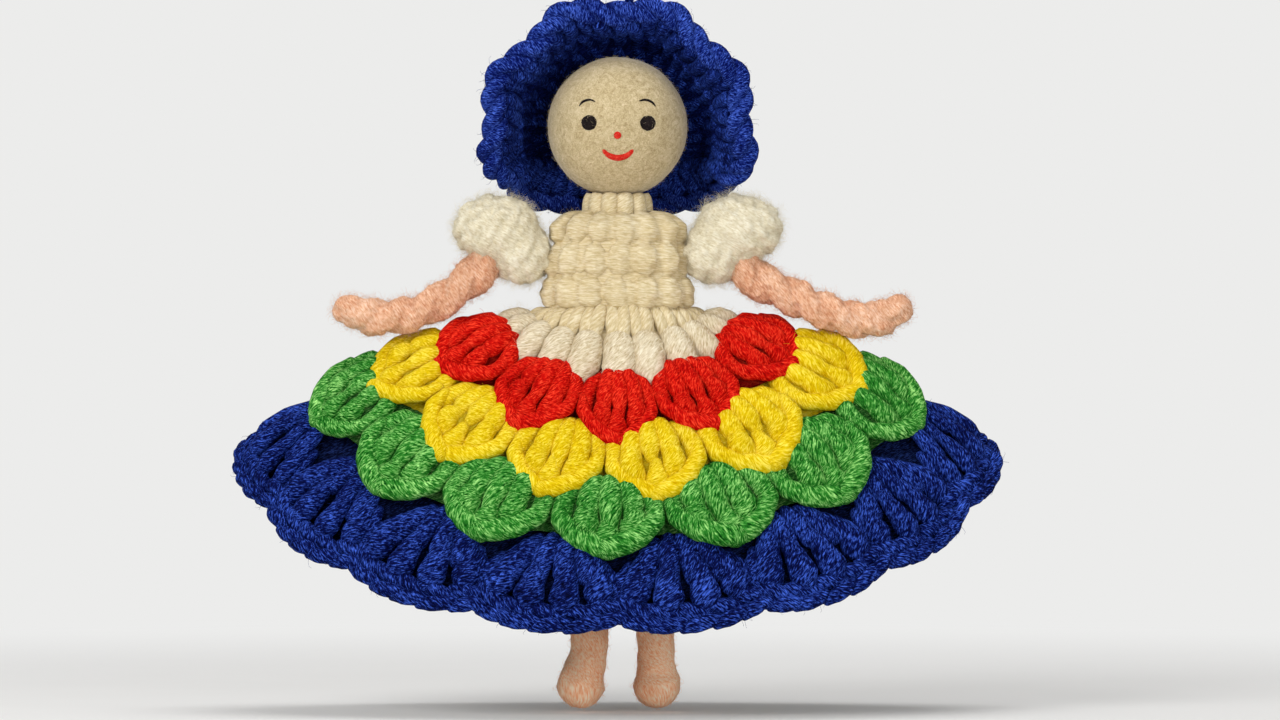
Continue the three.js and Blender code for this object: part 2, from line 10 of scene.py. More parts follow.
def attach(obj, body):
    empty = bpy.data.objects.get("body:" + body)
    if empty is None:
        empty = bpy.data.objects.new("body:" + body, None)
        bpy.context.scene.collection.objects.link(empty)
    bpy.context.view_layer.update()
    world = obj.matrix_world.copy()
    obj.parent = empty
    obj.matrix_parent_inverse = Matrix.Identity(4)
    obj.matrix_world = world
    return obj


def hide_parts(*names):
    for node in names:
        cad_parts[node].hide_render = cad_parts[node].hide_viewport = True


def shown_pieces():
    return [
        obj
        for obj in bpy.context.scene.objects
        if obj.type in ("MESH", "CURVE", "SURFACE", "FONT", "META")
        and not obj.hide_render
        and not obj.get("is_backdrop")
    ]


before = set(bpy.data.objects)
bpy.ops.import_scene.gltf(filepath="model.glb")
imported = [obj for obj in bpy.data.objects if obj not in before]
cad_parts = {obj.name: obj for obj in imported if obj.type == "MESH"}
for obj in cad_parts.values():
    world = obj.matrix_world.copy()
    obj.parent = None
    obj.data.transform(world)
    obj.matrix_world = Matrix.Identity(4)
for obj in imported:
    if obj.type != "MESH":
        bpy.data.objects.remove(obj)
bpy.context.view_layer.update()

mm = 0.001
wholeTurn = 2 * pi
solesBelow = 153.7  # heights are counted from the soles, and the row's origin is the loop's top


def rowPlace(place):
    x, y, height = place
    return Vector((x, y, height - solesBelow)) * mm


def mix(a, b, share):
    return a + (b - a) * share


# half the way between two places, in mm
def halfApart(a, b):
    return (a - b).length / 2 / mm


# reads a value from a short list of (share, value) pairs
def fromShares(shares, share):
    if share <= shares[0][0]:
        return shares[0][1]
    for (low, a), (high, b) in zip(shares, shares[1:]):
        if share <= high:
            part = (share - low) / (high - low)
            return mix(a, b, part * part * (3 - 2 * part))
    return shares[-1][1]


# a smooth line through points, the same as the part's source draws
def alongLine(points, share, closed=False):
    count = len(points)
    place = share * (count if closed else count - 1)
    first = int(place // 1)
    part = place - first
    if not closed and first >= count - 1:
        first, part = count - 2, 1.0
    before = points[(first - 1) % count] if closed or first > 0 else 2 * points[0] - points[1]
    a, b = points[first % count], points[(first + 1) % count]
    after = points[(first + 2) % count] if closed or first + 2 < count else 2 * points[-1] - points[-2]
    gaps = [max((q - p).length, 1e-8) ** 0.5 for p, q in ((before, a), (a, b), (b, after))]
    slopeA = ((a - before) / gaps[0] - (b - before) / (gaps[0] + gaps[1]) + (b - a) / gaps[1]) * gaps[1]
    slopeB = ((b - a) / gaps[1] - (after - a) / (gaps[1] + gaps[2]) + (after - b) / gaps[2]) * gaps[1]
    bend = 3 * (b - a) - 2 * slopeA - slopeB
    twist = 2 * (a - b) + slopeA + slopeB
    return a + slopeA * part + bend * part ** 2 + twist * part ** 3


def deselect():
    bpy.ops.object.select_all(action="DESELECT")


def named(name):
    piece = bpy.context.object
    piece.name = name
    piece.data.name = name
    return piece


def pick(piece):
    deselect()
    piece.select_set(True)
    bpy.context.view_layer.objects.active = piece


def smoothOutward(piece, weld=0.0):
    pick(piece)
    bpy.ops.object.mode_set(mode="EDIT")
    bpy.ops.mesh.select_all(action="SELECT")
    if weld:
        bpy.ops.mesh.remove_doubles(threshold=weld)
    bpy.ops.mesh.normals_make_consistent(inside=False)
    bpy.ops.object.mode_set(mode="OBJECT")
    bpy.ops.object.shade_smooth()
    return piece


# a primitive whose points are moved one by one, at gives each point's place
def moulded(name, addPrimitive, at, **shape):
    deselect()
    addPrimitive(location=(0, 0, 0), **shape)
    piece = named(name)
    for vertex in piece.data.vertices:
        vertex.co = at(vertex.co)
    return smoothOutward(piece)


def joined(name, pieces):
    deselect()
    for piece in pieces:
        piece.select_set(True)
    bpy.context.view_layer.objects.active = pieces[0]
    bpy.ops.object.join()
    return named(name)


def dress(piece, finish):
    piece.data.materials.clear()
    piece.data.materials.append(finishes[finish])
    return piece


def hand(piece, body, node, slot):
    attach(piece, body)
    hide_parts(node)
    return piece


# Camera and lights
cameraView = {"away": 1.2, "across": 0.00402, "up": -0.09145, "frameWidth": 0.22857, "sensor": 36}

bpy.ops.object.camera_add(location=(cameraView["across"], -cameraView["away"], cameraView["up"]),
    rotation=(pi / 2, 0, 0))
camera = bpy.context.object
camera.data.sensor_width = cameraView["sensor"]
camera.data.lens = cameraView["sensor"] * cameraView["away"] / cameraView["frameWidth"]
bpy.context.scene.camera = camera

lights = {
    "key": {"at": (-0.42, -0.62, 0.30), "size": 0.4, "power": 4.2},
    "fill": {"at": (0.34, -0.70, -0.14), "size": 0.5, "power": 3.8},
    "top": {"at": (0.05, -0.05, 0.50), "size": 0.4, "power": 1.6},
}
aim = Vector((0, 0, -0.095))
worldStrength = 0.28

for name, light in lights.items():
    deselect()
    heading = (aim - Vector(light["at"])).to_track_quat("-Z", "Y").to_euler()
    bpy.ops.object.light_add(type="AREA", location=light["at"], rotation=heading)
    lamp = bpy.context.object
    lamp.name = "studio_" + name
    lamp.data.size = light["size"]
    lamp.data.energy = light["power"]

world = bpy.data.worlds.new("studio")
bpy.context.scene.world = world
world.use_nodes = True
world.node_tree.nodes["Background"].inputs["Color"].default_value = (1, 1, 1, 1)
world.node_tree.nodes["Background"].inputs["Strength"].default_value = worldStrength
bpy.context.scene.view_settings.view_transform = "Standard"


# Finishes
def paint(red, green, blue):
    linear = [((c / 255 + 0.055) / 1.055) ** 2.4 if c > 10 else c / 255 / 12.92 for c in (red, green, blue)]
    return (*linear, 1)


def addNode(tree, kind, values=None, **settings):
    node = tree.nodes.new(kind)
    for key, value in settings.items():
        setattr(node, key, value)
    for key, value in (values or {}).items():
        node.inputs[key].default_value = value
    return node


# joins sockets, each wire is (node, its output, node, its input)
def wire(tree, *wires):
    for source, output, target, socket in wires:
        tree.links.new(source.outputs[output], target.inputs[socket])


def newFinish(name, roughness, sheen=0.0, specular=0.12):
    finish = bpy.data.materials.new(name)
    finish.use_nodes = True
    shader = finish.node_tree.nodes["Principled BSDF"]
    shader.inputs["Roughness"].default_value = roughness
    shader.inputs["Specular IOR Level"].default_value = specular
    shader.inputs["Sheen Weight"].default_value = sheen
    shader.inputs["Sheen Roughness"].default_value = 0.45
    return finish, finish.node_tree, shader


# three shades by one output, the deep and the light one at its ends, and relief by another, depth in mm
def shadeBy(tree, shader, shadeFrom, shades, ends, reliefFrom, bump, depth):
    colours = addNode(tree, "ShaderNodeValToRGB")
    deep, middle, light = shades
    ramp = colours.color_ramp
    ramp.elements[0].position, ramp.elements[0].color = ends[0], paint(*deep)
    ramp.elements[1].position, ramp.elements[1].color = ends[1], paint(*light)
    ramp.elements.new(0.5).color = paint(*middle)
    relief = addNode(tree, "ShaderNodeBump", {"Strength": bump, "Distance": depth * mm})
    wire(tree, (*shadeFrom, colours, "Fac"), (colours, "Color", shader, "Base Color"),
        (*reliefFrom, relief, "Height"), (relief, "Normal", shader, "Normal"))


yarnLook = {"patchScale": 170, "patchShare": 0.2, "drift": (310, 190, 270), "shadeEnds": (0.31, 0.71),
    "depth": 0.35}
feltLook = {"strayScale": 640, "strayShare": 0.4, "shadeEnds": (0.34, 0.66), "bump": 0.35, "depth": 0.2}


# short slanted fibre dashes across the strand, laid by the yarn's own map or by the object,
# dash is (length, width) in mm
def yarnFinish(name, shades, dash=(0.8, 0.14), slant=-24, bump=0.6, sheen=0.0, fromMap=True):
    finish, tree, shader = newFinish(name, 0.8, sheen, specular=0.04)
    length, width = dash
    slope = radians(slant)
    place = addNode(tree, "ShaderNodeTexCoord")
    if fromMap:
        yarnMap = addNode(tree, "ShaderNodeUVMap", uv_map="yarnMap")
        turned = addNode(tree, "ShaderNodeMapping", {"Rotation": (0, 0, slope), "Scale": (width, length, 1)},
            vector_type="TEXTURE")
        drift = addNode(tree, "ShaderNodeVectorMath", {1: yarnLook["drift"]}, operation="DOT_PRODUCT")
        lifted = addNode(tree, "ShaderNodeCombineXYZ")
        dashes = addNode(tree, "ShaderNodeVectorMath", operation="ADD")
        wire(tree, (yarnMap, "UV", turned, "Vector"), (place, "Object", drift, 0), (drift, "Value", lifted, "Z"),
            (turned, "Vector", dashes, 0), (lifted, "Vector", dashes, 1))
    else:
        dashes = addNode(tree, "ShaderNodeMapping",
            {"Rotation": (0, slope, 0), "Scale": (length * mm, length * mm, width * mm)}, vector_type="TEXTURE")
        wire(tree, (place, "Object", dashes, "Vector"))
    fibres = addNode(tree, "ShaderNodeTexNoise",
        {"Scale": 1.0, "Detail": 3.0, "Roughness": 0.6, "Distortion": 0.25})
    patches = addNode(tree, "ShaderNodeTexNoise", {"Scale": yarnLook["patchScale"], "Detail": 2.0})
    centred = addNode(tree, "ShaderNodeMath", {1: 0.5}, operation="SUBTRACT")
    blend = addNode(tree, "ShaderNodeMath", {1: yarnLook["patchShare"]}, operation="MULTIPLY_ADD")
    rough = addNode(tree, "ShaderNodeMapRange",
        {"From Min": 0.3, "From Max": 0.7, "To Min": 0.9, "To Max": 0.6})
    wire(tree, (dashes, "Vector", fibres, "Vector"), (place, "Object", patches, "Vector"),
        (patches, "Fac", centred, 0), (centred, "Value", blend, 0), (fibres, "Fac", blend, 2),
        (fibres, "Fac", rough, "Value"), (rough, "Result", shader, "Roughness"))
    shadeBy(tree, shader, (blend, "Value"), shades, yarnLook["shadeEnds"],
        (fibres, "Fac"), bump, yarnLook["depth"])
    return finish


# felted wool: a fine grain, in mm, with wandering fibres over it
def feltFinish(name, shades, grain=0.28, sheen=0.25):
    finish, tree, shader = newFinish(name, 0.9, sheen)
    place = addNode(tree, "ShaderNodeTexCoord")
    grains = addNode(tree, "ShaderNodeTexNoise", {"Scale": 1 / (grain * mm), "Detail": 4.0, "Roughness": 0.65})
    strays = addNode(tree, "ShaderNodeTexNoise",
        {"Scale": feltLook["strayScale"], "Detail": 3.0, "Distortion": 1.8})
    both = addNode(tree, "ShaderNodeMix", {0: feltLook["strayShare"]}, data_type="FLOAT")
    wire(tree, (place, "Object", grains, "Vector"), (place, "Object", strays, "Vector"),
        (grains, "Fac", both, 2), (strays, "Fac", both, 3))
    shadeBy(tree, shader, (both, 0), shades, feltLook["shadeEnds"],
        (both, 0), feltLook["bump"], feltLook["depth"])
    return finish


shades = {
    "blue": ((0, 1, 14), (3, 14, 74), (66, 104, 222)),
    # the edge rope's shades: the same blue yarn painted lighter, a painted highlight where light from above falls
    # on the rope
    "blueEdgePaintedLight": ((0, 3, 26), (6, 22, 100), (84, 122, 238)),
    # the hood's inside: the same blue yarn painted darker, painted shade for the hollow of the crown and brim
    "bluePaintedShade": ((0, 2, 20), (5, 13, 62), (24, 44, 124)),
    "red": ((124, 0, 0), (198, 12, 5), (250, 74, 44)),
    "yellow": ((186, 144, 0), (220, 190, 8), (248, 228, 92)),
    "green": ((0, 50, 4), (44, 128, 40), (168, 230, 132)),
    "cream": ((186, 165, 120), (209, 192, 153), (231, 220, 192)),
    "white": ((198, 185, 150), (223, 214, 188), (239, 235, 218)),
    "waist": ((178, 156, 118), (214, 200, 170), (240, 232, 212)),
    "peach": ((192, 124, 86), (223, 173, 139), (242, 211, 187)),
    # the legs' own peach colour, lightened as painted light to make up for the skirt's shadow over them
    "leg": ((244, 150, 104), (255, 202, 160), (255, 238, 214)),
    "wool": ((148, 127, 86), (186, 168, 129), (214, 198, 164)),
    "ink": ((6, 4, 4), (20, 14, 14), (48, 37, 36)),
    "lip": ((160, 18, 12), (198, 34, 24), (218, 78, 60)),
    "filling": ((205, 200, 190), (228, 225, 218), (240, 239, 236)),
}


# darker copies of a colour, painted shade for the ground that lies in the stitches' shade
def paintedShadeOf(name, share):
    return [[c * share for c in shade] for shade in shades[name]]


finishes = {
    "blueLoop": yarnFinish("blue_yarn_loop", shades["blue"], dash=(0.9, 0.35), slant=40, fromMap=False),
    "blueEdgePaintedLight": yarnFinish("blue_yarn_edging_painted_highlight", shades["blueEdgePaintedLight"]),
    "bluePaintedShadeGround": yarnFinish("blue_yarn_inside_painted_shade", shades["bluePaintedShade"], fromMap=False),
    "creamYarn": yarnFinish("cream_yarn_strands", shades["cream"], dash=(1.3, 0.2), bump=0.35, sheen=0.08),
    "creamGround": yarnFinish("cream_yarn_ground", shades["cream"],
        dash=(1.5, 0.2), slant=6, bump=0.22, sheen=0.1, fromMap=False),
    "whiteYarn": yarnFinish("white_yarn_strands", shades["white"],
        dash=(1.2, 0.18), slant=-60, bump=0.35, sheen=0.08),
    "whiteGround": yarnFinish("white_yarn_ground", shades["white"],
        dash=(0.9, 0.24), slant=28, bump=0.28, sheen=0.1, fromMap=False),
    "waistYarn": yarnFinish("waist_yarn_strands", shades["waist"], dash=(1.1, 0.2), slant=-36),
    "peachYarn": yarnFinish("peach_yarn_strands", shades["peach"],
        dash=(1.6, 0.26), slant=50, bump=0.7, sheen=0.06),
    "peachGround": yarnFinish("peach_yarn_ground", shades["peach"],
        dash=(0.9, 0.2), slant=52, bump=0.3, sheen=0.08, fromMap=False),
    "legPaintedLightYarn": yarnFinish("leg_wool_with_painted_light", shades["leg"], dash=(1.0, 0.2), slant=68, bump=0.3, sheen=0.1),
    "wool": feltFinish("felted_wool_grain", shades["wool"], grain=0.23),
    "ink": feltFinish("dark_wool_grain", shades["ink"], sheen=0.1),
    "lip": feltFinish("red_wool_grain", shades["lip"], sheen=0.1),
    "filling": feltFinish("filling_fibres", shades["filling"], grain=0.6),
}
# each coloured row's ground takes its colour darkened by the share, painted shade between the stitches
for colour, share in {"blue": 0.5, "red": 0.62, "yellow": 0.8, "green": 0.6}.items():
    finishes[colour + "Yarn"] = yarnFinish(colour + "_yarn_strands", shades[colour])
    finishes[colour + "Ground"] = yarnFinish(colour + "_yarn_ground", paintedShadeOf(colour, share), fromMap=False)

# Round studio floor whose rim curves up all round
studio = {"below": 0.1542, "flat": 2.2, "curve": 0.8, "rise": 1.6, "paleFrom": 0.08, "paleTo": 0.42}

deselect()
bpy.ops.mesh.primitive_circle_add(vertices=96, radius=studio["flat"], fill_type="TRIFAN", location=(0, 0, 0))
floor = named("studio_floor")
bpy.ops.object.mode_set(mode="EDIT")
bpy.ops.mesh.select_mode(type="EDGE")
bpy.ops.mesh.select_all(action="DESELECT")
bpy.ops.object.mode_set(mode="OBJECT")
for edge in floor.data.edges:
    edge.select = all(floor.data.vertices[i].co.length > studio["flat"] - 0.01 for i in edge.vertices)
bpy.ops.object.mode_set(mode="EDIT")
reach = studio["flat"]
for step in range(11):
    turn = pi / 2 * (step + 0.5) / 10
    if step < 10:
        out, up = (studio["curve"] * pi / 20 * part for part in (cos(turn), sin(turn)))
    else:
        out, up = 0.0, studio["rise"]
    bpy.ops.mesh.extrude_region_move(TRANSFORM_OT_translate={"value": (0, 0, up)})
    wider = (reach + out) / reach
    bpy.ops.transform.resize(value=(wider, wider, 1), center_override=(0, 0, 0))
    reach += out
bpy.ops.mesh.select_all(action="SELECT")
bpy.ops.mesh.normals_make_consistent(inside=True)
bpy.ops.transform.translate(value=(0, 0, -studio["below"]))
bpy.ops.object.mode_set(mode="OBJECT")
bpy.ops.object.shade_smooth()
floorFinish, floorTree, floorShader = newFinish("studio_floor", 0.9)
floorPlace = addNode(floorTree, "ShaderNodeTexCoord")
floorGrain = addNode(floorTree, "ShaderNodeTexNoise", {"Scale": 30.0, "Detail": 3.0})
floorColours = addNode(floorTree, "ShaderNodeValToRGB")
floorColours.color_ramp.elements[0].color = paint(240, 239, 237)
floorColours.color_ramp.elements[1].color = paint(245, 244, 242)
floorFar = addNode(floorTree, "ShaderNodeVectorMath", operation="LENGTH")
floorFade = addNode(floorTree, "ShaderNodeMapRange",
    {"From Min": studio["paleFrom"], "From Max": studio["paleTo"]}, interpolation_type="SMOOTHSTEP")
floorRays = addNode(floorTree, "ShaderNodeLightPath")
floorSeen = addNode(floorTree, "ShaderNodeMath", operation="MAXIMUM")
floorShare = addNode(floorTree, "ShaderNodeMath", operation="MULTIPLY")
floorGlow = addNode(floorTree, "ShaderNodeEmission", {"Color": paint(236, 236, 235), "Strength": 1.0})
floorMix = addNode(floorTree, "ShaderNodeMixShader")
wire(floorTree, (floorPlace, "Object", floorGrain, "Vector"), (floorGrain, "Fac", floorColours, "Fac"),
    (floorColours, "Color", floorShader, "Base Color"), (floorPlace, "Object", floorFar, 0),
    (floorFar, "Value", floorFade, "Value"), (floorRays, "Is Camera Ray", floorSeen, 0),
    (floorRays, "Is Glossy Ray", floorSeen, 1), (floorFade, "Result", floorShare, 0),
    (floorSeen, "Value", floorShare, 1), (floorShare, "Value", floorMix, 0), (floorShader, "BSDF", floorMix, 1),
    (floorGlow, "Emission", floorMix, 2), (floorMix, "Shader", floorTree.nodes["Material Output"], "Surface"))
floor.data.materials.append(floorFinish)
floor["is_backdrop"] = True
print("camera, lights and floor are set")

# Hanging loop: one strand of blue yarn, whose ends go on into the crown
loop = {"diameter": 0.0017, "steps": 80, "tuck": {"inward": 0.92, "back": 0.3, "down": 2.4}, "route": [
    (-3.6, 3.2, -31), (-3.8, 3, -28.2), (-4.1, 2.7, -24.7), (-4.5, 2.3, -21.2), (-4.8, 1.9, -17.2),
    (-4.9, 1.4, -13.2), (-4.7, 0.9, -9.2), (-4.2, 0.5, -5.6), (-3.2, 0.2, -2.6), (-1.7, 0.1, -0.7),
    (0, 0, 0), (1.7, 0.1, -0.7), (3.2, 0.2, -2.6), (4.2, 0.5, -5.6), (4.5, 0.9, -9.2),
    (4.4, 1.4, -13.2), (3.9, 1.9, -17.2), (3.2, 2.3, -21.2), (2.5, 2.7, -24.7), (1.9, 3, -28.2),
    (1.6, 3.2, -31)]}


def tucked(place):
    tuck = loop["tuck"]
    return Vector((place.x * tuck["inward"], place.y + tuck["back"] * mm, place.z - tuck["down"] * mm))


deselect()
bpy.ops.curve.primitive_nurbs_path_add(location=(0, 0, 0))
loopStrand = named("hanging_loop_strand")
loopStrand.data.splines.clear()
loopPoints = [Vector(place) * mm for place in loop["route"]]
loopLine = [alongLine(loopPoints, i / loop["steps"]) for i in range(loop["steps"] + 1)]
laidLine = [tucked(loopLine[0]), *loopLine, tucked(loopLine[-1])]
spline = loopStrand.data.splines.new("POLY")
spline.points.add(len(laidLine) - 1)
for point, place in zip(spline.points, laidLine):
    point.co = (*place, 1)
loopStrand.data.bevel_depth = loop["diameter"] / 2
loopStrand.data.bevel_resolution = 4
loopStrand.data.use_fill_caps = True
loopLength = sum((b - a).length for a, b in zip(laidLine, laidLine[1:]))
dress(loopStrand, "blueLoop")
hand(loopStrand, "head", "hanging_loop", "blue_yarn")
tuple(loopLine[0])
print("hanging loop", round(loopLength, 4))


# Strands: each route is a list of (place in metres, radius in mm),
# size is (along, around) in mm for the yarn map
def yarnTubes(name, routes, size, sides=4, closed=False):
    deselect()
    bpy.ops.curve.primitive_nurbs_path_add(location=(0, 0, 0))
    tubes = named(name)
    curve = tubes.data
    curve.splines.clear()
    curve.bevel_depth = mm
    curve.bevel_resolution = sides
    curve.use_fill_caps = not closed
    for route in routes:
        spline = curve.splines.new("POLY")
        spline.points.add(len(route) - 1)
        spline.use_cyclic_u = closed
        for point, (place, radius) in zip(spline.points, route):
            point.co = (*place, 1)
            point.radius = radius
    bpy.ops.object.convert(target="MESH")
    tubes = named(name)
    layer = tubes.data.uv_layers[0]
    layer.name = "yarnMap"
    spots = [0.0] * (2 * len(tubes.data.loops))
    layer.data.foreach_get("uv", spots)
    spots[0::2] = [u * size[0] for u in spots[0::2]]
    spots[1::2] = [v * size[1] for v in spots[1::2]]
    layer.data.foreach_set("uv", spots)
    return smoothOutward(tubes, weld=1e-6)


# gives a strand rounded ends
def roundEnds(route):
    (first, startRadius), (last, endRadius) = route[0], route[-1]
    startWay, endWay = (first - route[1][0]).normalized(), (last - route[-2][0]).normalized()
    before, after = [], []
    for angle in (80, 60, 40, 20):
        turn = radians(angle)
        before.append((first + startWay * startRadius * mm * sin(turn), startRadius * cos(turn)))
        after.insert(0, (last + endWay * endRadius * mm * sin(turn), endRadius * cos(turn)))
    return before + route + after


# a strand with rounded ends, draw gives its place and radius at each share
def strandOf(steps, draw):
    return roundEnds([draw(step / steps) for step in range(steps + 1)])


# a closed ring of cloth from a torus: place(turn, loop) puts each point, loop runs down outside and up inside
def ringShell(turns, loops, place):
    def at(spot):
        x, y, z = spot
        return place(atan2(x, -y), (atan2(z, hypot(x, y) - 1) / wholeTurn) % 1)

    return moulded("ground", bpy.ops.mesh.primitive_torus_add, at, major_segments=turns, minor_segments=loops,
        major_radius=1, minor_radius=0.25)


# which side of a shell a loop share is on, and how far down that side
def shellSide(loopShare):
    outside = loopShare < 0.5
    return outside, loopShare * 2 if outside else 2 - loopShare * 2


# stitches grown together into one soft surface
def softened(piece, voxel, rounds, factor=0.6):
    pick(piece)
    remesh = piece.modifiers.new("grown", "REMESH")
    remesh.mode = "VOXEL"
    remesh.voxel_size = voxel * mm
    bpy.ops.object.modifier_apply(modifier="grown")
    soften = piece.modifiers.new("soften", "SMOOTH")
    soften.iterations = rounds
    soften.factor = factor
    bpy.ops.object.modifier_apply(modifier="soften")
    return smoothOutward(piece)


# small lumps, as of wool that isn't spun evenly
def roughened(piece, high, fine):
    normals = [vertex.normal.copy() for vertex in piece.data.vertices]
    for vertex, normal in zip(piece.data.vertices, normals):
        spot = vertex.co / mm
        vertex.co += normal * high * (noise(spot * fine) + 0.5 * noise(spot * fine * 3.1)) * mm


# stray fibres that stand out of a piece, so that its outline is soft
def looseFibres(name, source, count, length, seed, radius=0.03, lean=0.75):
    chance = random.Random(seed)
    faces = source.data.polygons
    chosen = chance.choices(range(len(faces)), weights=[face.area for face in faces], k=count)
    routes = []
    for index in chosen:
        face = faces[index]
        out = face.normal.copy()
        side = out.orthogonal().normalized()
        spin = chance.uniform(0, wholeTurn)
        side = side * cos(spin) + out.cross(side) * sin(spin)
        reach = chance.uniform(*length) * mm
        curl = chance.uniform(-1, 1)
        start = face.center - out * 0.3 * mm
        other = out.cross(side)
        route = []
        for share in (0, 1 / 3, 2 / 3, 1):
            rise = sin(share * pi * 0.62) * (1 - lean * 0.5)
            place = start + out * reach * rise + side * reach * lean * share
            place += other * reach * 0.35 * curl * share ** 2
            route.append((place, radius * (1 - 0.55 * share)))
        routes.append(route)
    return yarnTubes(name, routes, (length[1], 0.3), sides=0)


# joins a piece with loose fibres from its strands and hands it over
def handFuzzy(name, pieces, strands, fuzz, finish, body, node, slot):
    fibres = dress(looseFibres("fuzz", strands, **fuzz), finish)
    piece = joined(name, [*pieces, fibres])
    print(name, len(piece.data.polygons))
    return hand(piece, body, node, slot)


# The skirt's surface: seams are counted from the waist, turn is 0 at the front
skirt = {"waistHeight": 71.2, "waistWidth": 13.4, "waistDepth": 8.8, "hemWidth": 67.7, "hemDepth": 29.5,
    "sideFall": 26.8, "frontFall": 29.5, "waistFall": 1, "foldSoft": 0.12, "wall": 3,
    "seams": [(0, 0, 0, 0), (0.14, 0.184, 0.09, 0.323), (0.325, 0.372, 0.179, 0.572), (0.53, 0.585, 0.328, 0.775),
        (0.75, 0.778, 0.608, 0.888), (0.932, 0.93, 0.885, 0.962), (1, 1, 1, 1)]}
skirtLine = [Vector(seam[:3]) for seam in skirt["seams"]]
skirtDrop = [Vector((seam[3], 0)) for seam in skirt["seams"]]


@functools.lru_cache(maxsize=None)
def skirtShares(seam):
    along = min(max(seam / 6, 0), 1)
    across, deep, side = alongLine(skirtLine, along)
    return across, deep, side, alongLine(skirtDrop, along)[0]


def skirtSurface(seam, turn):
    if seam > 6 or seam < 0:
        end, back = (6, 5.9) if seam > 6 else (0, 0.1)
        edge = skirtSurface(end, turn)
        return edge + (edge - skirtSurface(back, turn)) * abs(seam - end) * 10
    across, deep, side, drop = skirtShares(round(seam, 3))
    soft = lambda cosine: sqrt(cosine ** 2 + skirt["foldSoft"] ** 2) - skirt["foldSoft"]
    hang = soft(cos(turn)) / soft(1)
    return Vector((
        mix(skirt["waistWidth"], skirt["hemWidth"], across) * sin(turn),
        -mix(skirt["waistDepth"], skirt["hemDepth"], deep) * cos(turn),
        skirt["waistHeight"] - skirt["sideFall"] * side
            - mix(skirt["waistFall"], skirt["frontFall"], drop) * hang))


def skirtAt(seam, turn, out):
    low = min(max(seam, 0.02), 5.98)
    down = skirtSurface(low + 0.02, turn) - skirtSurface(low - 0.02, turn)
    around = skirtSurface(low, turn + 0.01) - skirtSurface(low, turn - 0.01)
    return rowPlace(skirtSurface(seam, turn) + down.cross(around).normalized() * out)


# Bobble rows: ribs fan over a round puff, two petals lie below them and two strands close its point
bobble = {
    "width": [(0, 0.64), (0.1, 0.8), (0.26, 0.97), (0.42, 1), (0.6, 0.95), (0.78, 0.74), (0.9, 0.47), (1, 0.1)],
    "top": -0.2, "fullest": 0.42, "puff": 4.1, "reach": 0.8, "rib": 0.235,
    "fat": {"side": [(0, 0.55), (0.2, 0.95), (0.6, 1), (1, 0.7)],
        "rib": [(0, 0.6), (0.2, 0.9), (0.7, 1), (1, 0.6)],
        "petal": [(0, 0.45), (0.25, 0.9), (0.6, 1.12), (1, 0.75)],
        "close": [(0, 0.5), (0.25, 0.82), (0.75, 0.95), (1, 0.8)], "plug": [(0, 0.6), (0.5, 1.15), (1, 0.9)]},
}
bobbleRows = {
    "red": {"node": "skirt_red_row", "first": 1, "count": 10, "half": 0, "warp": 0.09, "shift": 0.0,
        "puff": 1.08, "tall": 1.44},
    "yellow": {"node": "skirt_yellow_row", "first": 2, "count": 12, "half": 0.5, "warp": 0.06, "shift": -0.057,
        "puff": 1.0, "tall": 1.42},
    "green": {"node": "skirt_green_row", "first": 3, "count": 14, "half": 0, "warp": 0.04, "shift": -0.034,
        "puff": 1.0, "tall": 1.24},
}


# a place's share across its bobble, -1 to 1
def bobbleAcross(row, turn):
    straight = turn
    for _ in range(3):  # the turn that the warp moves to this one
        straight = turn + row["warp"] * sin(2 * straight) - row["shift"] * cos(straight)
    at = straight * row["count"] / wholeTurn - row["half"]
    return 2 * (at - round(at))


# how far a place lies under the bobbles of the row above
def bobbleCover(row, turn, seam):
    above = next((other for other in bobbleRows.values() if other["first"] == row["first"] - 1), None)
    if above is None:
        return 0
    down = (seam - above["first"] - bobble["top"]) / above["tall"]
    if not 0.05 < down < 1:
        return 0
    inside = 1 - abs(bobbleAcross(above, turn)) / (fromShares(bobble["width"], down) * bobble["reach"] * 1.12)
    return min(max((inside - 0.1) / 0.2, 0), 1)


def bobblePlace(row, index, across, down, out):
    turn = (index + row["half"] + across / 2) * (wholeTurn / row["count"])
    turn = turn - row["warp"] * sin(2 * turn) + row["shift"] * cos(turn)
    seam = row["first"] + bobble["top"] + row["tall"] * down
    return skirtAt(seam, turn, mix(out, min(out, -0.9), bobbleCover(row, turn, seam)))


# how full a bobble is: round at the top and flatter towards its point
def bobbleSwell(down):
    fullest = bobble["fullest"]
    if down < fullest:
        return sqrt(max(0, 1 - ((fullest - down) / (fullest + 0.03)) ** 2))
    return max(0, 1 - ((down - fullest) / (1.05 - fullest)) ** 2) ** 0.75


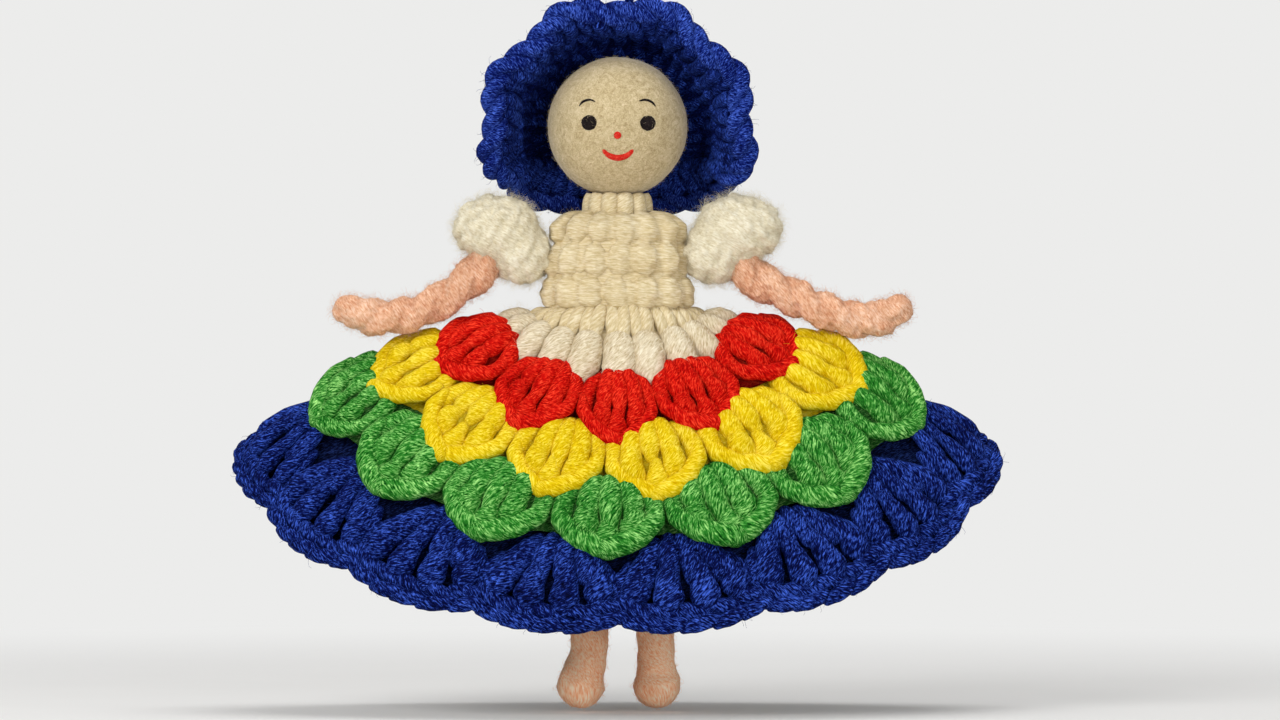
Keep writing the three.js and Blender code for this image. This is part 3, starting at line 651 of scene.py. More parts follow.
# draws a bobble's strands: each line is a list of (column, share down), lift and tuck are in mm,
# tuck is how far the end goes in and least its least height
def bobbleStrands(row, index, chance):
    thick = bobble["rib"] * halfApart(bobblePlace(row, index, 1, 0.45, 0), bobblePlace(row, index, -1, 0.45, 0))
    puff = bobble["puff"] * row["puff"] * chance.uniform(0.94, 1.06)
    lean = chance.uniform(-0.1, 0.1)

    def strand(line, radii, lift, steps, tuck=0.0, least=-9.0):
        line = [Vector(spot) for spot in line]

        def draw(share):
            column, down = alongLine(line, share)
            across = column * fromShares(bobble["width"], down) * bobble["reach"] + lean * (down - 0.5)
            swell = bobbleSwell(down) * max(0.05, 1 - across * across) ** 0.45
            duck = 1.4 * max(0, 1 - down / 0.17) ** 1.4 if least < 0 else 0
            out = max(puff * swell - thick * 0.75, least) + lift - tuck * share ** 2 - duck
            return bobblePlace(row, index, across, down, out), thick * fromShares(radii, share)

        return strandOf(steps, draw)

    sides, middle, closing = [], [], []
    fat = bobble["fat"]
    twist = chance.uniform(-0.09, 0.09)
    for way in (-1, 1):
        sides.append(strand([(way * 0.8, 0.15), (way * 0.98, 0.3), (way * 1.04, 0.48), (way * 0.98, 0.66)],
            fat["side"], -0.15, 11))
    for column in (-0.47, 0.0, 0.47):
        low = chance.uniform(0.5, 0.78)
        line = [(column * 0.9 + twist * 0.5, 0.0), (column + twist, 0.2), (column * 1.05 + twist, 0.4),
            (column * 0.95 + twist, low)]
        middle.append(strand(line, fat["rib"], chance.uniform(-0.2, 0.1), 10))
    for way in (-1, 1):
        high = chance.uniform(0.34, 0.5)
        line = [(way * 0.46 + twist, high), (way * 0.55 + twist, 0.6), (way * 0.5 + twist * 0.5, 0.8)]
        middle.append(strand(line, fat["petal"], chance.uniform(0.35, 0.65), 8, tuck=1.3))
    over = chance.choice((-1, 1))
    for way in (-1, 1):
        line = [(way * 1.12, 0.44), (way * 1.08, 0.62), (way * 1.0, 0.77), (way * 0.8, 0.89), (-way * 0.3, 0.98)]
        closing.append(strand(line, fat["close"], 0.95 + 0.3 * way * over, 12, least=1.1))
    closing.append(strand([(0, 0.62), (0, 0.8), (0, 0.95)], fat["plug"], 0.1, 8, least=0.9))
    return sides, middle, closing


def bobbleGround(row):
    def place(turn, loopShare):
        outside, share = shellSide(loopShare)
        across = bobbleAcross(row, turn)
        down = mix(-0.09, 0.86 + 0.1 * cos(pi * across), share)
        swell = bobbleSwell(down) * (1 - across ** 2) ** 0.6 if down > 0 else 0
        seam = row["first"] + bobble["top"] + row["tall"] * down
        out = bobble["puff"] * swell * 0.8 - 0.8 if outside else -skirt["wall"] - 0.4 * swell
        return skirtAt(seam, turn, mix(out, min(out, -1.5), bobbleCover(row, turn, seam)))

    return ringShell(row["count"] * 12, 22, place)


for colour, row in bobbleRows.items():
    chance = random.Random(row["first"] * 11)
    sides, middle, closing = [], [], []
    for index in range(row["count"]):
        for group, strands in zip((sides, middle, closing), bobbleStrands(row, index, chance)):
            group += strands
    # the ground gets the darkened colour, painted shade between the bobbles
    ground = dress(bobbleGround(row), colour + "Ground")
    posts = dress(yarnTubes("posts", sides + middle, (10, 11)), colour + "Yarn")
    points = dress(yarnTubes("points", closing, (12, 8)), colour + "Yarn")
    fuzz = {"count": 30 * row["count"], "length": (0.8, 2.0), "seed": row["first"]}
    handFuzzy(row["node"] + "_bobbles", [ground, posts, points], posts, fuzz, colour + "Yarn", "torso",
        row["node"], colour + "_yarn")

# Blue shells and the hem
shells = {
    "first": 4, "count": 16, "puff": 2.7, "rib": 0.19, "fuzz": {"count": 480, "length": (0.8, 2.0), "seed": 4},
    "fan": [(0, 0.62), (0.2, 0.84), (0.5, 0.97), (1, 1.02)],
    "ribs": (-0.98, -0.6, -0.22, 0.16, 0.54, 0.95), "ribFat": [(0, 0.6), (0.3, 0.95), (1, 0.8)],
    "posts": [(-0.76, 0.08, 0.86, 0.15), (-0.27, 0.36, 0.97, 0.6), (0.25, 0.34, 0.99, 0.55),
        (0.76, 0.1, 0.87, 0.15)],
    "postFat": [(0, 0.55), (0.35, 0.98), (0.75, 1.28), (1, 0.95)],
}


def shellTurn(index, across):
    return (index + 0.5 + across / 2) * wholeTurn / shells["count"]


# a turn's share across its shell, -1 to 1
def shellAcross(turn):
    at = turn * shells["count"] / wholeTurn - 0.5
    return 2 * (at - round(at))


def shellPlace(index, across, down, out):
    top = shells["first"] - 0.18 + 0.5 * across * across
    bottom = shells["first"] + 1.14 - 0.16 * across * across
    return skirtAt(mix(top, bottom, down), shellTurn(index, across), out)


def shellSwell(down):
    return sqrt(max(0, 1 - ((0.4 - down) / 0.44) ** 2)) if down < 0.4 else 1 - 0.45 * ((down - 0.4) / 0.6) ** 2


chance = random.Random(5)
routes = []
for index in range(shells["count"]):
    thick = shells["rib"] * halfApart(shellPlace(index, 1, 0.5, 0), shellPlace(index, -1, 0.5, 0))
    sway = chance.uniform(-0.05, 0.05)

    def shellStrand(column, begin, end, radii, lift, steps):
        def draw(share):
            down = mix(begin, end, share)
            across = column * fromShares(shells["fan"], down) + sway * (1 - down) * (1 - column * column)
            out = shells["puff"] * shellSwell(down) * max(0.05, 1 - across * across) ** 0.3 - thick * 0.7 + lift
            return shellPlace(index, across, down, out), thick * fromShares(radii, share)

        routes.append(strandOf(steps, draw))

    for column in shells["ribs"]:
        outer = abs(column) > 0.9
        begin, end = (0.16, 0.82) if outer else (0.0, chance.uniform(0.42, 0.54))
        shellStrand(column, begin, end, shells["ribFat"], -0.5 if outer else chance.uniform(-0.3, 0.1), 8)
    for column, begin, end, lift in shells["posts"]:
        column += chance.uniform(-0.03, 0.03)
        begin += chance.uniform(-0.04, 0.04)
        shellStrand(column, begin, end, shells["postFat"], lift + chance.uniform(-0.15, 0.15), 10)


def shellGround(turn, loopShare):
    outside, share = shellSide(loopShare)
    across = shellAcross(turn)
    seam = mix(shells["first"] - 0.36, shells["first"] + 1.14 + 0.26 * (1 - across ** 2), share)
    down = (seam - shells["first"] + 0.18 - 0.5 * across * across) / (1.32 - 0.66 * across * across)
    swell = shellSwell(max(down, 0)) * (1 - 0.6 * across ** 2) if down > 0 else 0
    return skirtAt(seam, turn, 1.3 * swell - 1.7 if outside else -skirt["wall"] - 0.3 * swell)


# the shells' ground gets the darkened blue, painted shade between the posts
blueGround = dress(ringShell(shells["count"] * 10, 20, shellGround), "blueGround")
bluePosts = dress(yarnTubes("posts", routes, (9, 12)), "blueYarn")
handFuzzy("skirt_blue_row_shells", [blueGround, bluePosts], bluePosts, shells["fuzz"], "blueYarn", "torso",
    "skirt_blue_row", "blue_yarn")

hem = {"first": 5, "perShell": 5, "scallop": 0.5, "thick": 1.42,
    "fat": [(0, 0.6), (0.3, 1), (0.7, 0.95), (1, 0.45)],
    "fuzz": {"count": 620, "length": (0.8, 2.2), "seed": 9}}


def hemPlace(index, across, down, out):
    wave = across - 2 * round(across / 2)
    seam = hem["first"] + 0.16 + 0.88 * down - hem["scallop"] * abs(wave) ** 2.4 * mix(0.7, 1, down)
    return skirtAt(seam, shellTurn(index, across), out)


routes = []
for index in range(shells["count"]):
    for link in range(hem["perShell"]):
        begin = -1 + 2 * link / hem["perShell"] + chance.uniform(-0.04, 0.04)
        for lane, (upper, lower) in enumerate(((0.02, 0.52), (1.0, 0.55))):
            def draw(share):
                across = begin + 0.1 * lane + 0.6 * share
                out = 1.35 * sin(pi * min(1, 0.08 + share)) ** 0.7 - 0.35 * share - 0.3
                spot = hemPlace(index, across, mix(upper, lower, share ** 1.2), out)
                return spot, hem["thick"] * fromShares(hem["fat"], share)

            routes.append(strandOf(9, draw))


def hemGround(turn, loopShare):
    swing = loopShare * wholeTurn
    return hemPlace(round(turn * shells["count"] / wholeTurn - 0.5), shellAcross(turn), 0.5 - 0.46 * cos(swing),
        -1.6 + 1.3 * sin(swing))


# the hem's ground gets the darkened blue, painted shade between the links
hemBase = dress(ringShell(shells["count"] * 12, 14, hemGround), "blueGround")
hemLinks = dress(yarnTubes("links", routes, (8, 9)), "blueYarn")
handFuzzy("skirt_hem_edge_braid", [hemBase, hemLinks], hemLinks, hem["fuzz"], "blueYarn", "torso",
    "skirt_hem_edge", "blue_yarn")

# Yoke: pairs of short slanted strands at the waist, then a round of long plump stitches
yoke = {"count": 20,
    "slant": {"from": -0.1, "to": 0.34, "out": -0.7, "thick": 0.64, "fat": [(0, 0.8), (0.4, 1), (1, 0.85)],
        "apart": (0.5, 0.32)},
    "plump": {"from": 0.46, "to": 0.94, "out": -0.9, "thick": 1.14, "puff": 1.0,
        "fat": [(0, 0.9), (0.25, 1), (1, 0.97)]},
    "fuzz": {"count": 3600, "length": (0.8, 2.2), "seed": 19, "radius": 0.018, "lean": 0.85}}
slants, lobes = [], []
for index in range(yoke["count"]):
    step = wholeTurn / yoke["count"]
    turn = index * step + chance.uniform(-0.02, 0.02)
    slant, plump = yoke["slant"], yoke["plump"]
    half = halfApart(skirtAt(0.2, turn + step / 2, 0), skirtAt(0.2, turn - step / 2, 0))
    for way in (-1, 1):
        def draw(share):
            apart = mix(*slant["apart"], share) * way * step / 2
            out = slant["out"] + 0.45 * sin(pi * share) + 0.1 * way
            spot = skirtAt(mix(slant["from"], slant["to"], share), turn + apart, out)
            return spot, half * slant["thick"] * fromShares(slant["fat"], share)

        slants.append(strandOf(7, draw))
    half = halfApart(skirtAt(0.6, turn + step / 2, 0), skirtAt(0.6, turn - step / 2, 0))
    route = []
    for place in range(9):
        share = place / 8
        out = plump["out"] + plump["puff"] * sin(pi * (0.15 + 0.6 * share))
        radius = fromShares(plump["fat"], share) * (1 + 0.12 * noise(Vector((place * 0.8, index * 3, 5))))
        spot = skirtAt(mix(plump["from"], plump["to"], share), turn + 0.012 * sin(4 * share + index), out)
        route.append((spot, half * plump["thick"] * radius))
    lobes.append(roundEnds(route))


def yokeGround(turn, loopShare):
    outside, share = shellSide(loopShare)
    return skirtAt(mix(-0.12, 0.98, share), turn, -0.9 if outside else -skirt["wall"])


yokeBase = dress(ringShell(72, 14, yokeGround), "creamGround")
yokeSlants = dress(yarnTubes("slants", slants, (5, 8)), "creamYarn")
yokeLobes = dress(yarnTubes("lobes", lobes, (9, 15), sides=6), "waistYarn")
handFuzzy("skirt_yoke_lobes", [yokeBase, yokeSlants, yokeLobes], yokeLobes, yoke["fuzz"], "waistYarn", "torso",
    "skirt_yoke", "cream_yarn")

# Trunk: the bodice is a tube of plump blocks, with a thin upright strand beside some of them
trunk = {"waist": 71.2, "tall": 17.7, "waistWidth": 13.4, "waistDepth": 8.8, "topWidth": 11, "topDepth": 7,
    "square": 2.4, "narrowing": [(0, 0), (0.25, 0.15), (0.5, 0.45), (0.75, 0.7), (0.92, 0.82), (1, 1)],
    "columns": 14, "rounds": 3, "wall": 2.6, "fat": 2.1, "voxel": 0.34, "blockWide": 0.91, "blockCurve": 2.6,
    "strandFat": [(0, 0.7), (0.5, 1), (1, 0.6)],
    "fuzz": {"count": 3700, "length": (0.7, 1.9), "seed": 23, "radius": 0.015, "lean": 0.9}}


def trunkRing(turn):
    c, s = sin(turn), -cos(turn)
    power = 2 / trunk["square"]
    return copysign(abs(c) ** power, c), copysign(abs(s) ** power, s)


# turns at even steps round the trunk
ringCount, turnCount = 720, 560
ringSteps = [trunkRing(wholeTurn * i / ringCount) for i in range(ringCount + 1)]
ringLengths = [0.0]
for (x0, y0), (x1, y1) in zip(ringSteps, ringSteps[1:]):
    stride = hypot((x1 - x0) * trunk["waistWidth"], (y1 - y0) * trunk["waistDepth"])
    ringLengths.append(ringLengths[-1] + stride)


def evenTurn(share):
    whole, part = divmod(share, 1)
    target = part * ringLengths[-1]
    index = next(i for i in range(1, ringCount + 1) if ringLengths[i] >= target)
    inside = (target - ringLengths[index - 1]) / (ringLengths[index] - ringLengths[index - 1])
    return wholeTurn * (whole + (index - 1 + inside) / ringCount)


evenTurns = [evenTurn(i / turnCount) for i in range(turnCount + 1)]


def trunkAt(share, up, out):
    place = (share % 1) * turnCount
    first = int(place)
    turn = mix(evenTurns[first], evenTurns[min(first + 1, turnCount)], place - first)
    narrow = fromShares(trunk["narrowing"], min(max(up, 0), 1))
    over = max(0, up - 0.8) / 0.2  # the shoulders round over towards the neck
    shrink = 1 - 0.2 * min(over, 1.5) ** 2
    x, y = trunkRing(turn)
    width = (mix(trunk["waistWidth"], trunk["topWidth"], narrow) + out) * shrink
    depth = (mix(trunk["waistDepth"], trunk["topDepth"], narrow) + out) * shrink
    return rowPlace((width * x, depth * y, trunk["waist"] + 0.3 + (trunk["tall"] - 0.3) * up))


# one rounded block, modelled once
deselect()
bpy.ops.mesh.primitive_cube_add(size=2, location=(0, 0, 0))
blockShape = named("block_shape")
bpy.ops.object.mode_set(mode="EDIT")
bpy.ops.mesh.select_all(action="SELECT")
bpy.ops.mesh.subdivide(number_cuts=9)
bpy.ops.object.mode_set(mode="OBJECT")
curve = trunk["blockCurve"]
for vertex in blockShape.data.vertices:
    x, y, z = vertex.co
    far = (abs(x) ** curve + abs(y) ** curve + abs(z) ** curve) ** (1 / curve)
    vertex.co = Vector((x, y, z)) / far


def blockCopy(place):
    copy = blockShape.copy()
    copy.data = blockShape.data.copy()
    bpy.context.scene.collection.objects.link(copy)
    for vertex in copy.data.vertices:
        vertex.co = place(*vertex.co)
    return copy


blocks, routes = [], []
for level in range(trunk["rounds"]):
    for column in range(trunk["columns"]):
        share = (column + 0.12 * level) / trunk["columns"] + chance.uniform(-0.004, 0.004)
        up = (level + 0.5) / trunk["rounds"] + chance.uniform(-0.012, 0.012)
        fat = trunk["fat"] * chance.uniform(0.88, 1.12)
        tilt = chance.uniform(-0.03, 0.03)
        bulge = chance.uniform(-0.25, 0.25)

        def place(x, y, z, share=share, up=up, fat=fat, tilt=tilt, bulge=bulge):
            spot = Vector((x * 1.7 + share * 60, z * 1.7 + up * 40, y))
            lumps = 0.32 * noise(spot) + 0.14 * noise(spot * 2.7)
            band = 0.2 * cos(z * 7.5 + bulge * 8)  # the wraps of yarn show as soft bands
            sideways = x * (1 + 0.12 * bulge * z) + tilt * z * 3
            across = share + sideways * 0.5 / trunk["columns"] * trunk["blockWide"]
            return trunkAt(across, up + (z + tilt * x) * 0.5 / trunk["rounds"], -1.3 + (fat + band + lumps) * y)

        blocks.append(blockCopy(place))
        if chance.random() < 0.5:
            strandShare = share + 0.47 / trunk["columns"]

            def draw(along):
                rise = up + (along - 0.5) * 0.7 / trunk["rounds"]
                slip = 0.07 * sin(3 * along) / trunk["columns"]
                spot = trunkAt(strandShare + slip, rise, -0.95 + 0.3 * sin(pi * along))
                return spot, 0.85 * fromShares(trunk["strandFat"], along)

            routes.append(strandOf(7, draw))
bodiceBlocks = joined("bodice_blocks", [*blocks, yarnTubes("strands", routes, (6, 4), sides=2)])
softened(bodiceBlocks, trunk["voxel"], 2, 0.5)
bpy.data.objects.remove(blockShape)
dress(bodiceBlocks, "creamGround")


def bodiceGround(turn, loopShare):
    outside, share = shellSide(loopShare)
    return trunkAt(turn / wholeTurn, mix(-0.09, 0.99, share), -0.9 if outside else -trunk["wall"])


bodiceBase = dress(ringShell(72, 16, bodiceGround), "creamGround")
handFuzzy("bodice_stitches", [bodiceBlocks, bodiceBase], bodiceBlocks, trunk["fuzz"], "creamYarn", "torso",
    "bodice", "cream_yarn")

# Neck: upright ribs
neck = {"foot": 87.0, "top": 91.8, "halfWidth": 6.2, "halfDepth": 5.4, "ribs": 11, "thick": 1.62,
    "fat": [(0, 0.8), (0.3, 1), (0.8, 1), (1, 0.8)]}
routes = []
for index in range(neck["ribs"]):
    turn = (index + 0.5) * wholeTurn / neck["ribs"]
    route = []
    for step in range(8):
        share = step / 7
        spread = mix(4.6, 4.35, share) + 0.3 * sin(pi * share)
        place = (spread * neck["halfWidth"] / 6.2 * sin(turn), -spread * neck["halfDepth"] / 6.2 * cos(turn),
            mix(neck["foot"], neck["top"], share))
        route.append((rowPlace(place), neck["thick"] * fromShares(neck["fat"], share)))
    routes.append(route)
neckPiece = dress(yarnTubes("neck_ribs", routes, (5, 10), sides=5), "creamYarn")
hand(neckPiece, "torso", "neck", "cream_yarn")
print("neck", len(neckPiece.data.polygons))

# Head ball and face
head = {"height": 103.86, "radius": 12.5,
    "fuzz": {"count": 3400, "length": (0.5, 1.3), "seed": 31, "radius": 0.017, "lean": 0.92}}
headCentre = Vector((0, 0, head["height"]))


def ballAt(spot):
    way = spot.normalized()
    lump = noise(way * 2.1) * 0.12 + noise(way * 9 + Vector((3, 1, 2))) * 0.05 + noise(way * 40) * 0.03
    return rowPlace(headCentre + way * (head["radius"] + lump - 0.05))


ball = dress(moulded("ball", bpy.ops.mesh.primitive_ico_sphere_add, ballAt, subdivisions=6, radius=1), "wool")
ballPiece = handFuzzy("head_ball_felt", [ball], ball, head["fuzz"], "wool", "head", "head_ball", "felted_wool")


def onBall(across, rise, lift):
    depth = sqrt(head["radius"] ** 2 - across ** 2 - rise ** 2)
    return rowPlace(headCentre + Vector((across, -depth, rise)).normalized() * (head["radius"] + lift))


# a patch of wool worked into the ball: line is its middle, half its half width in mm
def facePatch(name, node, line, half, thick, seed, wool, ends=0.4):
    points = [Vector(place) for place in line]

    def at(spot):
        a, b, c = spot
        shake = 1 + 0.07 * noise(Vector((atan2(b, a) * 4, seed, 0.3 * c)))
        if len(points) == 1:
            across, rise = points[0].x + a * half * shake, points[0].y + b * half * shake
        else:
            share = 0.5 + 0.5 * a
            middle = alongLine(points, min(max(share, 0), 1))
            ahead = alongLine(points, min(share + 0.02, 1)) - alongLine(points, max(share - 0.02, 0))
            across = Vector((-ahead.y, ahead.x)).normalized() * b * half * shake
            full = max(ends, sqrt(max(0, 1 - a * a))) / max(0.05, sqrt(max(1e-6, 1 - a * a)))
            across, rise = middle + across * min(full, 1.25)
        return onBall(across, rise, 0.02 + c * thick)

    patch = moulded(name, bpy.ops.mesh.primitive_uv_sphere_add, at, segments=64, ring_count=24, radius=1)
    dress(patch, "ink" if wool == "dark_wool" else "lip")
    hand(patch, "head", node, wool)


face = {
    "eye_left_wool": ("eye_left", [(-5.0, 0.36)], 1.36, 0.16, 2.5, "dark_wool"),
    "eye_right_wool": ("eye_right", [(5.4, 0.28)], 1.36, 0.16, 7.5, "dark_wool"),
    "brow_left_stroke": ("brow_left", [(-6.75, 3.35), (-6.1, 4.1), (-5.0, 4.45), (-3.85, 4.1)], 0.21, 0.12, 11,
        "dark_wool"),
    "brow_right_stroke": ("brow_right", [(3.85, 4.2), (4.95, 4.45), (6.1, 4.05), (6.8, 3.3)], 0.21, 0.12, 12,
        "dark_wool"),
    "nose_dot": ("nose", [(0.05, -1.9)], 0.66, 0.13, 13, "red_wool"),
    "mouth_smile": ("mouth", [(-2.6, -4.4), (-1.5, -5.4), (0.1, -5.85), (1.75, -5.4), (2.85, -4.4)],
        0.53, 0.15, 14, "red_wool", 0.7),
}
for name, patch in face.items():
    facePatch(name, *patch)
print("head and face")

# Hood
hood = {"halfWidth": 22.3, "rise": 20.6, "forward": 6, "wall": 3, "scallops": 9, "scallop": 0.75,
    "edge": [(0, 1, -0.9), (0.43, 0.93, -0.95), (0.74, 0.65, -1), (0.97, 0.3, -1), (1, -0.12, -0.85),
        (0.95, -0.42, -0.1), (0.77, -0.55, 1.4), (0.42, -0.685, 1.75)], "edgeBottom": (0, -0.7, 1.9),
    "seam": [(0, 0.9, 0.17), (0.385, 0.83, 0.17), (0.635, 0.57, 0.17), (0.84, 0.25, 0.2), (0.865, -0.1, 0.35),
        (0.82, -0.3, 0.85), (0.62, -0.36, 1.6), (0.35, -0.455, 1.9)], "seamBottom": (0, -0.465, 2.05)}


def hoodLine(shares, bottom):
    def place(side, share):
        across, up, ahead = share
        return Vector((side * hood["halfWidth"] * across, hood["forward"] * ahead, hood["rise"] * up))

    right = [place(1, share) for share in shares]
    return right + [place(1, bottom)] + [place(-1, share) for share in reversed(shares[1:])]


hoodEdgeLine = hoodLine(hood["edge"], hood["edgeBottom"])
hoodSeamLine = hoodLine(hood["seam"], hood["seamBottom"])
hoodPole = head["radius"] + 0.3 + hood["wall"]


def hoodEdge(along):
    point = alongLine(hoodEdgeLine, along % 1, closed=True)
    out = Vector((point.x, 0, point.z)).normalized()
    return point - out * hood["scallop"] * cos(wholeTurn * hood["scallops"] * along)


def hoodSeam(along):
    return alongLine(hoodSeamLine, along % 1, closed=True)


def inward(point):
    return Vector((-point.x, 0, -point.z)).normalized()


def crownAt(along, share, inset):
    seam = hoodSeam(along)
    rise, spread = sin(pi / 2 * share), cos(pi / 2 * share)
    shrink = 1 - inset / hypot(seam.x, seam.z)
    deep = seam.y + (hoodPole - inset - seam.y) * rise
    return rowPlace(headCentre + Vector((seam.x * spread * shrink, deep, seam.z * spread * shrink)))


def brimAt(along, share, inset):
    point = mix(hoodSeam(along), hoodEdge(along), share)
    return rowPlace(headCentre + point + inward(point) * inset)


# the crown's rounds of posts, from the seam to the pole: (from, to, how many)
crown = {"rounds": [(0.0, 0.36, 40), (0.36, 0.68, 28), (0.68, 0.97, 14)], "fat": [(0, 0.8), (0.5, 1), (1, 0.7)],
    "fuzz": {"count": 700, "length": (0.8, 2.0), "seed": 41}}
routes = []
for low, high, count in crown["rounds"]:
    for index in range(count):
        along = (index + chance.uniform(-0.1, 0.1)) / count
        half = halfApart(crownAt(along + 0.5 / count, low + 0.1, 0), crownAt(along - 0.5 / count, low + 0.1, 0))

        def draw(share):
            radius = fromShares(crown["fat"], share) * min(half, 1.7) * mix(1.02, 0.75, share)
            return crownAt(along + 0.006 * sin(share * 3), mix(low - 0.03, high - 0.01, share), 1.6), radius

        routes.append(strandOf(10, draw))
for low, high, count in crown["rounds"][:2]:
    for index in range(count):
        def draw(share):
            bow = sin(share * pi)
            spot = crownAt((index + share * 1.35) / count, high + 0.03 * bow - 0.02, 1.1 - 0.55 * bow)
            return spot, 0.95 * sin(pi * (0.15 + 0.7 * share))

        routes.append(strandOf(8, draw))


def crownGround(place):
    x, y, z = place.normalized()
    along = (atan2(x, z) / wholeTurn) % 1
    level = acos(max(-1, min(1, y))) / pi  # 0 and 1 are the outer and the inner pole
    share = mix(-0.07, 1, abs(1 - 2 * level))  # it reaches a little under the brim
    return crownAt(along, share, 1.2 if level < 0.5 else 2.4)


deselect()
bpy.ops.mesh.primitive_uv_sphere_add(segments=64, ring_count=32, radius=1, location=(0, 0, 0),
    rotation=(pi / 2, 0, 0))
crownBase = named("crown_ground")
bpy.ops.object.transform_apply(location=True, rotation=True, scale=True)
for vertex in crownBase.data.vertices:
    vertex.co = crownGround(vertex.co)
smoothOutward(crownBase)
# the crown's ground is painted darker, painted shade inside the hood
dress(crownBase, "bluePaintedShadeGround")
crownPosts = dress(yarnTubes("crown_posts", routes, (9, 10)), "blueYarn")
handFuzzy("bonnet_crown_rounds", [crownPosts, crownBase], crownPosts, crown["fuzz"], "blueYarn", "head",
    "bonnet_crown", "blue_yarn")

brim = {"posts": 46, "fat": [(0, 0.75), (0.3, 1), (0.8, 1), (1, 0.75)],
    "fuzz": {"count": 260, "length": (0.8, 1.8), "seed": 43}}
routes = []
for index in range(brim["posts"]):
    along = (index + chance.uniform(-0.12, 0.12)) / brim["posts"]
    before, after = along - 0.5 / brim["posts"], along + 0.5 / brim["posts"]
    halfEdge = halfApart(brimAt(after, 0.8, 0), brimAt(before, 0.8, 0))
    halfSeam = halfApart(brimAt(after, 0.1, 0), brimAt(before, 0.1, 0))
    route = []
    for step in range(12):
        share = step / 11
        radius = mix(halfSeam, halfEdge, share) * 1.06 * fromShares(brim["fat"], share)
        inset = 1.5 + 0.35 * sin(index * 2.1)
        spot = brimAt(along + 0.004 * sin(share * 3 + index), mix(0.02, 0.95, share), inset)
        route.append((spot, min(radius, 1.75)))
    routes.append(route)


def brimGround(turn, loopShare):
    outside, share = shellSide(loopShare)
    whole, rim = (1.0, -0.2) if outside else (2.2, 0.6)  # its rim ends inside the rope
    inset = mix(whole, rim, max(0, share - 0.8) / 0.2)
    return brimAt((pi - turn) / wholeTurn, mix(-0.1, 1.0, share), inset)


# the brim's ground is painted darker too, painted shade inside the hood
brimBase = dress(ringShell(96, 14, brimGround), "bluePaintedShadeGround")
brimPosts = dress(yarnTubes("brim_posts", routes, (7, 10)), "blueYarn")
handFuzzy("bonnet_brim_ribs", [brimBase, brimPosts], brimPosts, brim["fuzz"], "blueYarn", "head",
    "bonnet_brim", "blue_yarn")

rope = {"plies": 2, "turns": 15, "helix": 1.0, "ply": 1.45, "slim": 0.8, "steps": 210,
    "fuzz": {"count": 520, "length": (0.8, 2.2), "seed": 47}}
routes = []
for ply in range(rope["plies"]):
    route = []
    for step in range(rope["steps"]):
        along = step / rope["steps"]
        centre = hoodEdge(along)
        heading = (hoodEdge(along + 0.003) - hoodEdge(along - 0.003)).normalized()
        out = -inward(centre)
        square = (out - heading * out.dot(heading)).normalized()
        other = heading.cross(square)
        spin = wholeTurn * (rope["turns"] * along + ply / rope["plies"])
        low = -centre.z / hood["rise"]
        slim = fromShares([(0.2, 1), (0.55, rope["slim"]), (1, rope["slim"])], low)  # thinner over the sleeves
        place = centre + (square * cos(spin) + other * sin(spin)) * rope["helix"] * slim
        lumps = 1 + 0.1 * noise(Vector((step * 0.3, ply * 5, 0)))
        route.append((rowPlace(headCentre + place), rope["ply"] * slim * lumps))
    routes.append(route)
# the edge rope wears the blue yarn painted lighter, a painted highlight
edgeRope = dress(yarnTubes("edge_rope", routes, (230, 9), closed=True), "blueEdgePaintedLight")
handFuzzy("bonnet_edge_rope", [edgeRope], edgeRope, rope["fuzz"], "blueYarn", "head", "bonnet_edge", "blue_yarn")

# Puff sleeves: two soft lobes grown together, under short plump stitches
sleeve = {"lobes": [((21.6, -1.2, 85.6), (7.0, 5.6, 5.5)), ((16.9, -1.4, 81.2), (4.8, 5.0, 4.8))],
    "middle": (19.8, -1.3, 83.8), "lobeVoxel": 0.55, "voxel": 0.3, "stitches": 92, "length": 4.8, "radius": 1.35,
    "fuzz": {"count": 4600, "length": (0.7, 2.6), "radius": 0.015, "lean": 0.86}}
goldenTurn = 2.399963
for side, name in ((-1, "left"), (1, "right")):
    chance = random.Random(80 + side)
    lobes = []
    for (x, y, height), (wide, deep, tall) in sleeve["lobes"]:
        lobes.append(moulded("lobe", bpy.ops.mesh.primitive_ico_sphere_add,
            lambda at: rowPlace((side * x + at.x * wide, y + at.y * deep, height + at.z * tall)),
            subdivisions=4, radius=1))
    puff = softened(joined("sleeve_puff", lobes), sleeve["lobeVoxel"], 14)
    x, y, height = sleeve["middle"]
    middle = rowPlace((side * x, y, height))
    routes = []
    for index in range(sleeve["stitches"]):
        rise = 1 - 2 * (index + 0.5) / sleeve["stitches"]
        spin = index * goldenTurn
        flat = sqrt(1 - rise * rise)
        heading = Vector((flat * cos(spin), flat * sin(spin), rise))
        sway = chance.uniform(-0.5, 0.5)
        along = Vector((0.82 * side, 0.1, 0.57)).cross(heading).normalized()  # round the sleeve's long axis
        along = along * cos(sway) + heading.cross(along) * sin(sway)
        length = sleeve["length"] * chance.uniform(0.8, 1.2)
        fat = sleeve["radius"] * chance.uniform(0.85, 1.2)
        route = []
        for step in range(7):
            share = step / 6 - 0.5
            aimed = (heading * 7 + along * share * length).normalized()
            found, spot, normal, face = puff.ray_cast(middle + aimed * 30 * mm, -aimed)
            if found:
                route.append((spot + normal * (-0.3 - 2.2 * share * share) * mm, fat * (1 - 1.3 * share * share)))
        if len(route) == 7:
            routes.append(roundEnds(route))
    stitches = yarnTubes("stitches", routes, (5, 7), sides=3)
    puff = softened(joined("sleeve_puff", [puff, stitches]), sleeve["voxel"], 3)
    roughened(puff, 0.3, 0.5)
    dress(puff, "whiteGround")
    puff = handFuzzy("sleeve_" + name + "_puff", [puff], puff, {**sleeve["fuzz"], "seed": 50 + side},
        "whiteYarn", "arm_" + name, "sleeve_" + name, "cream_yarn")

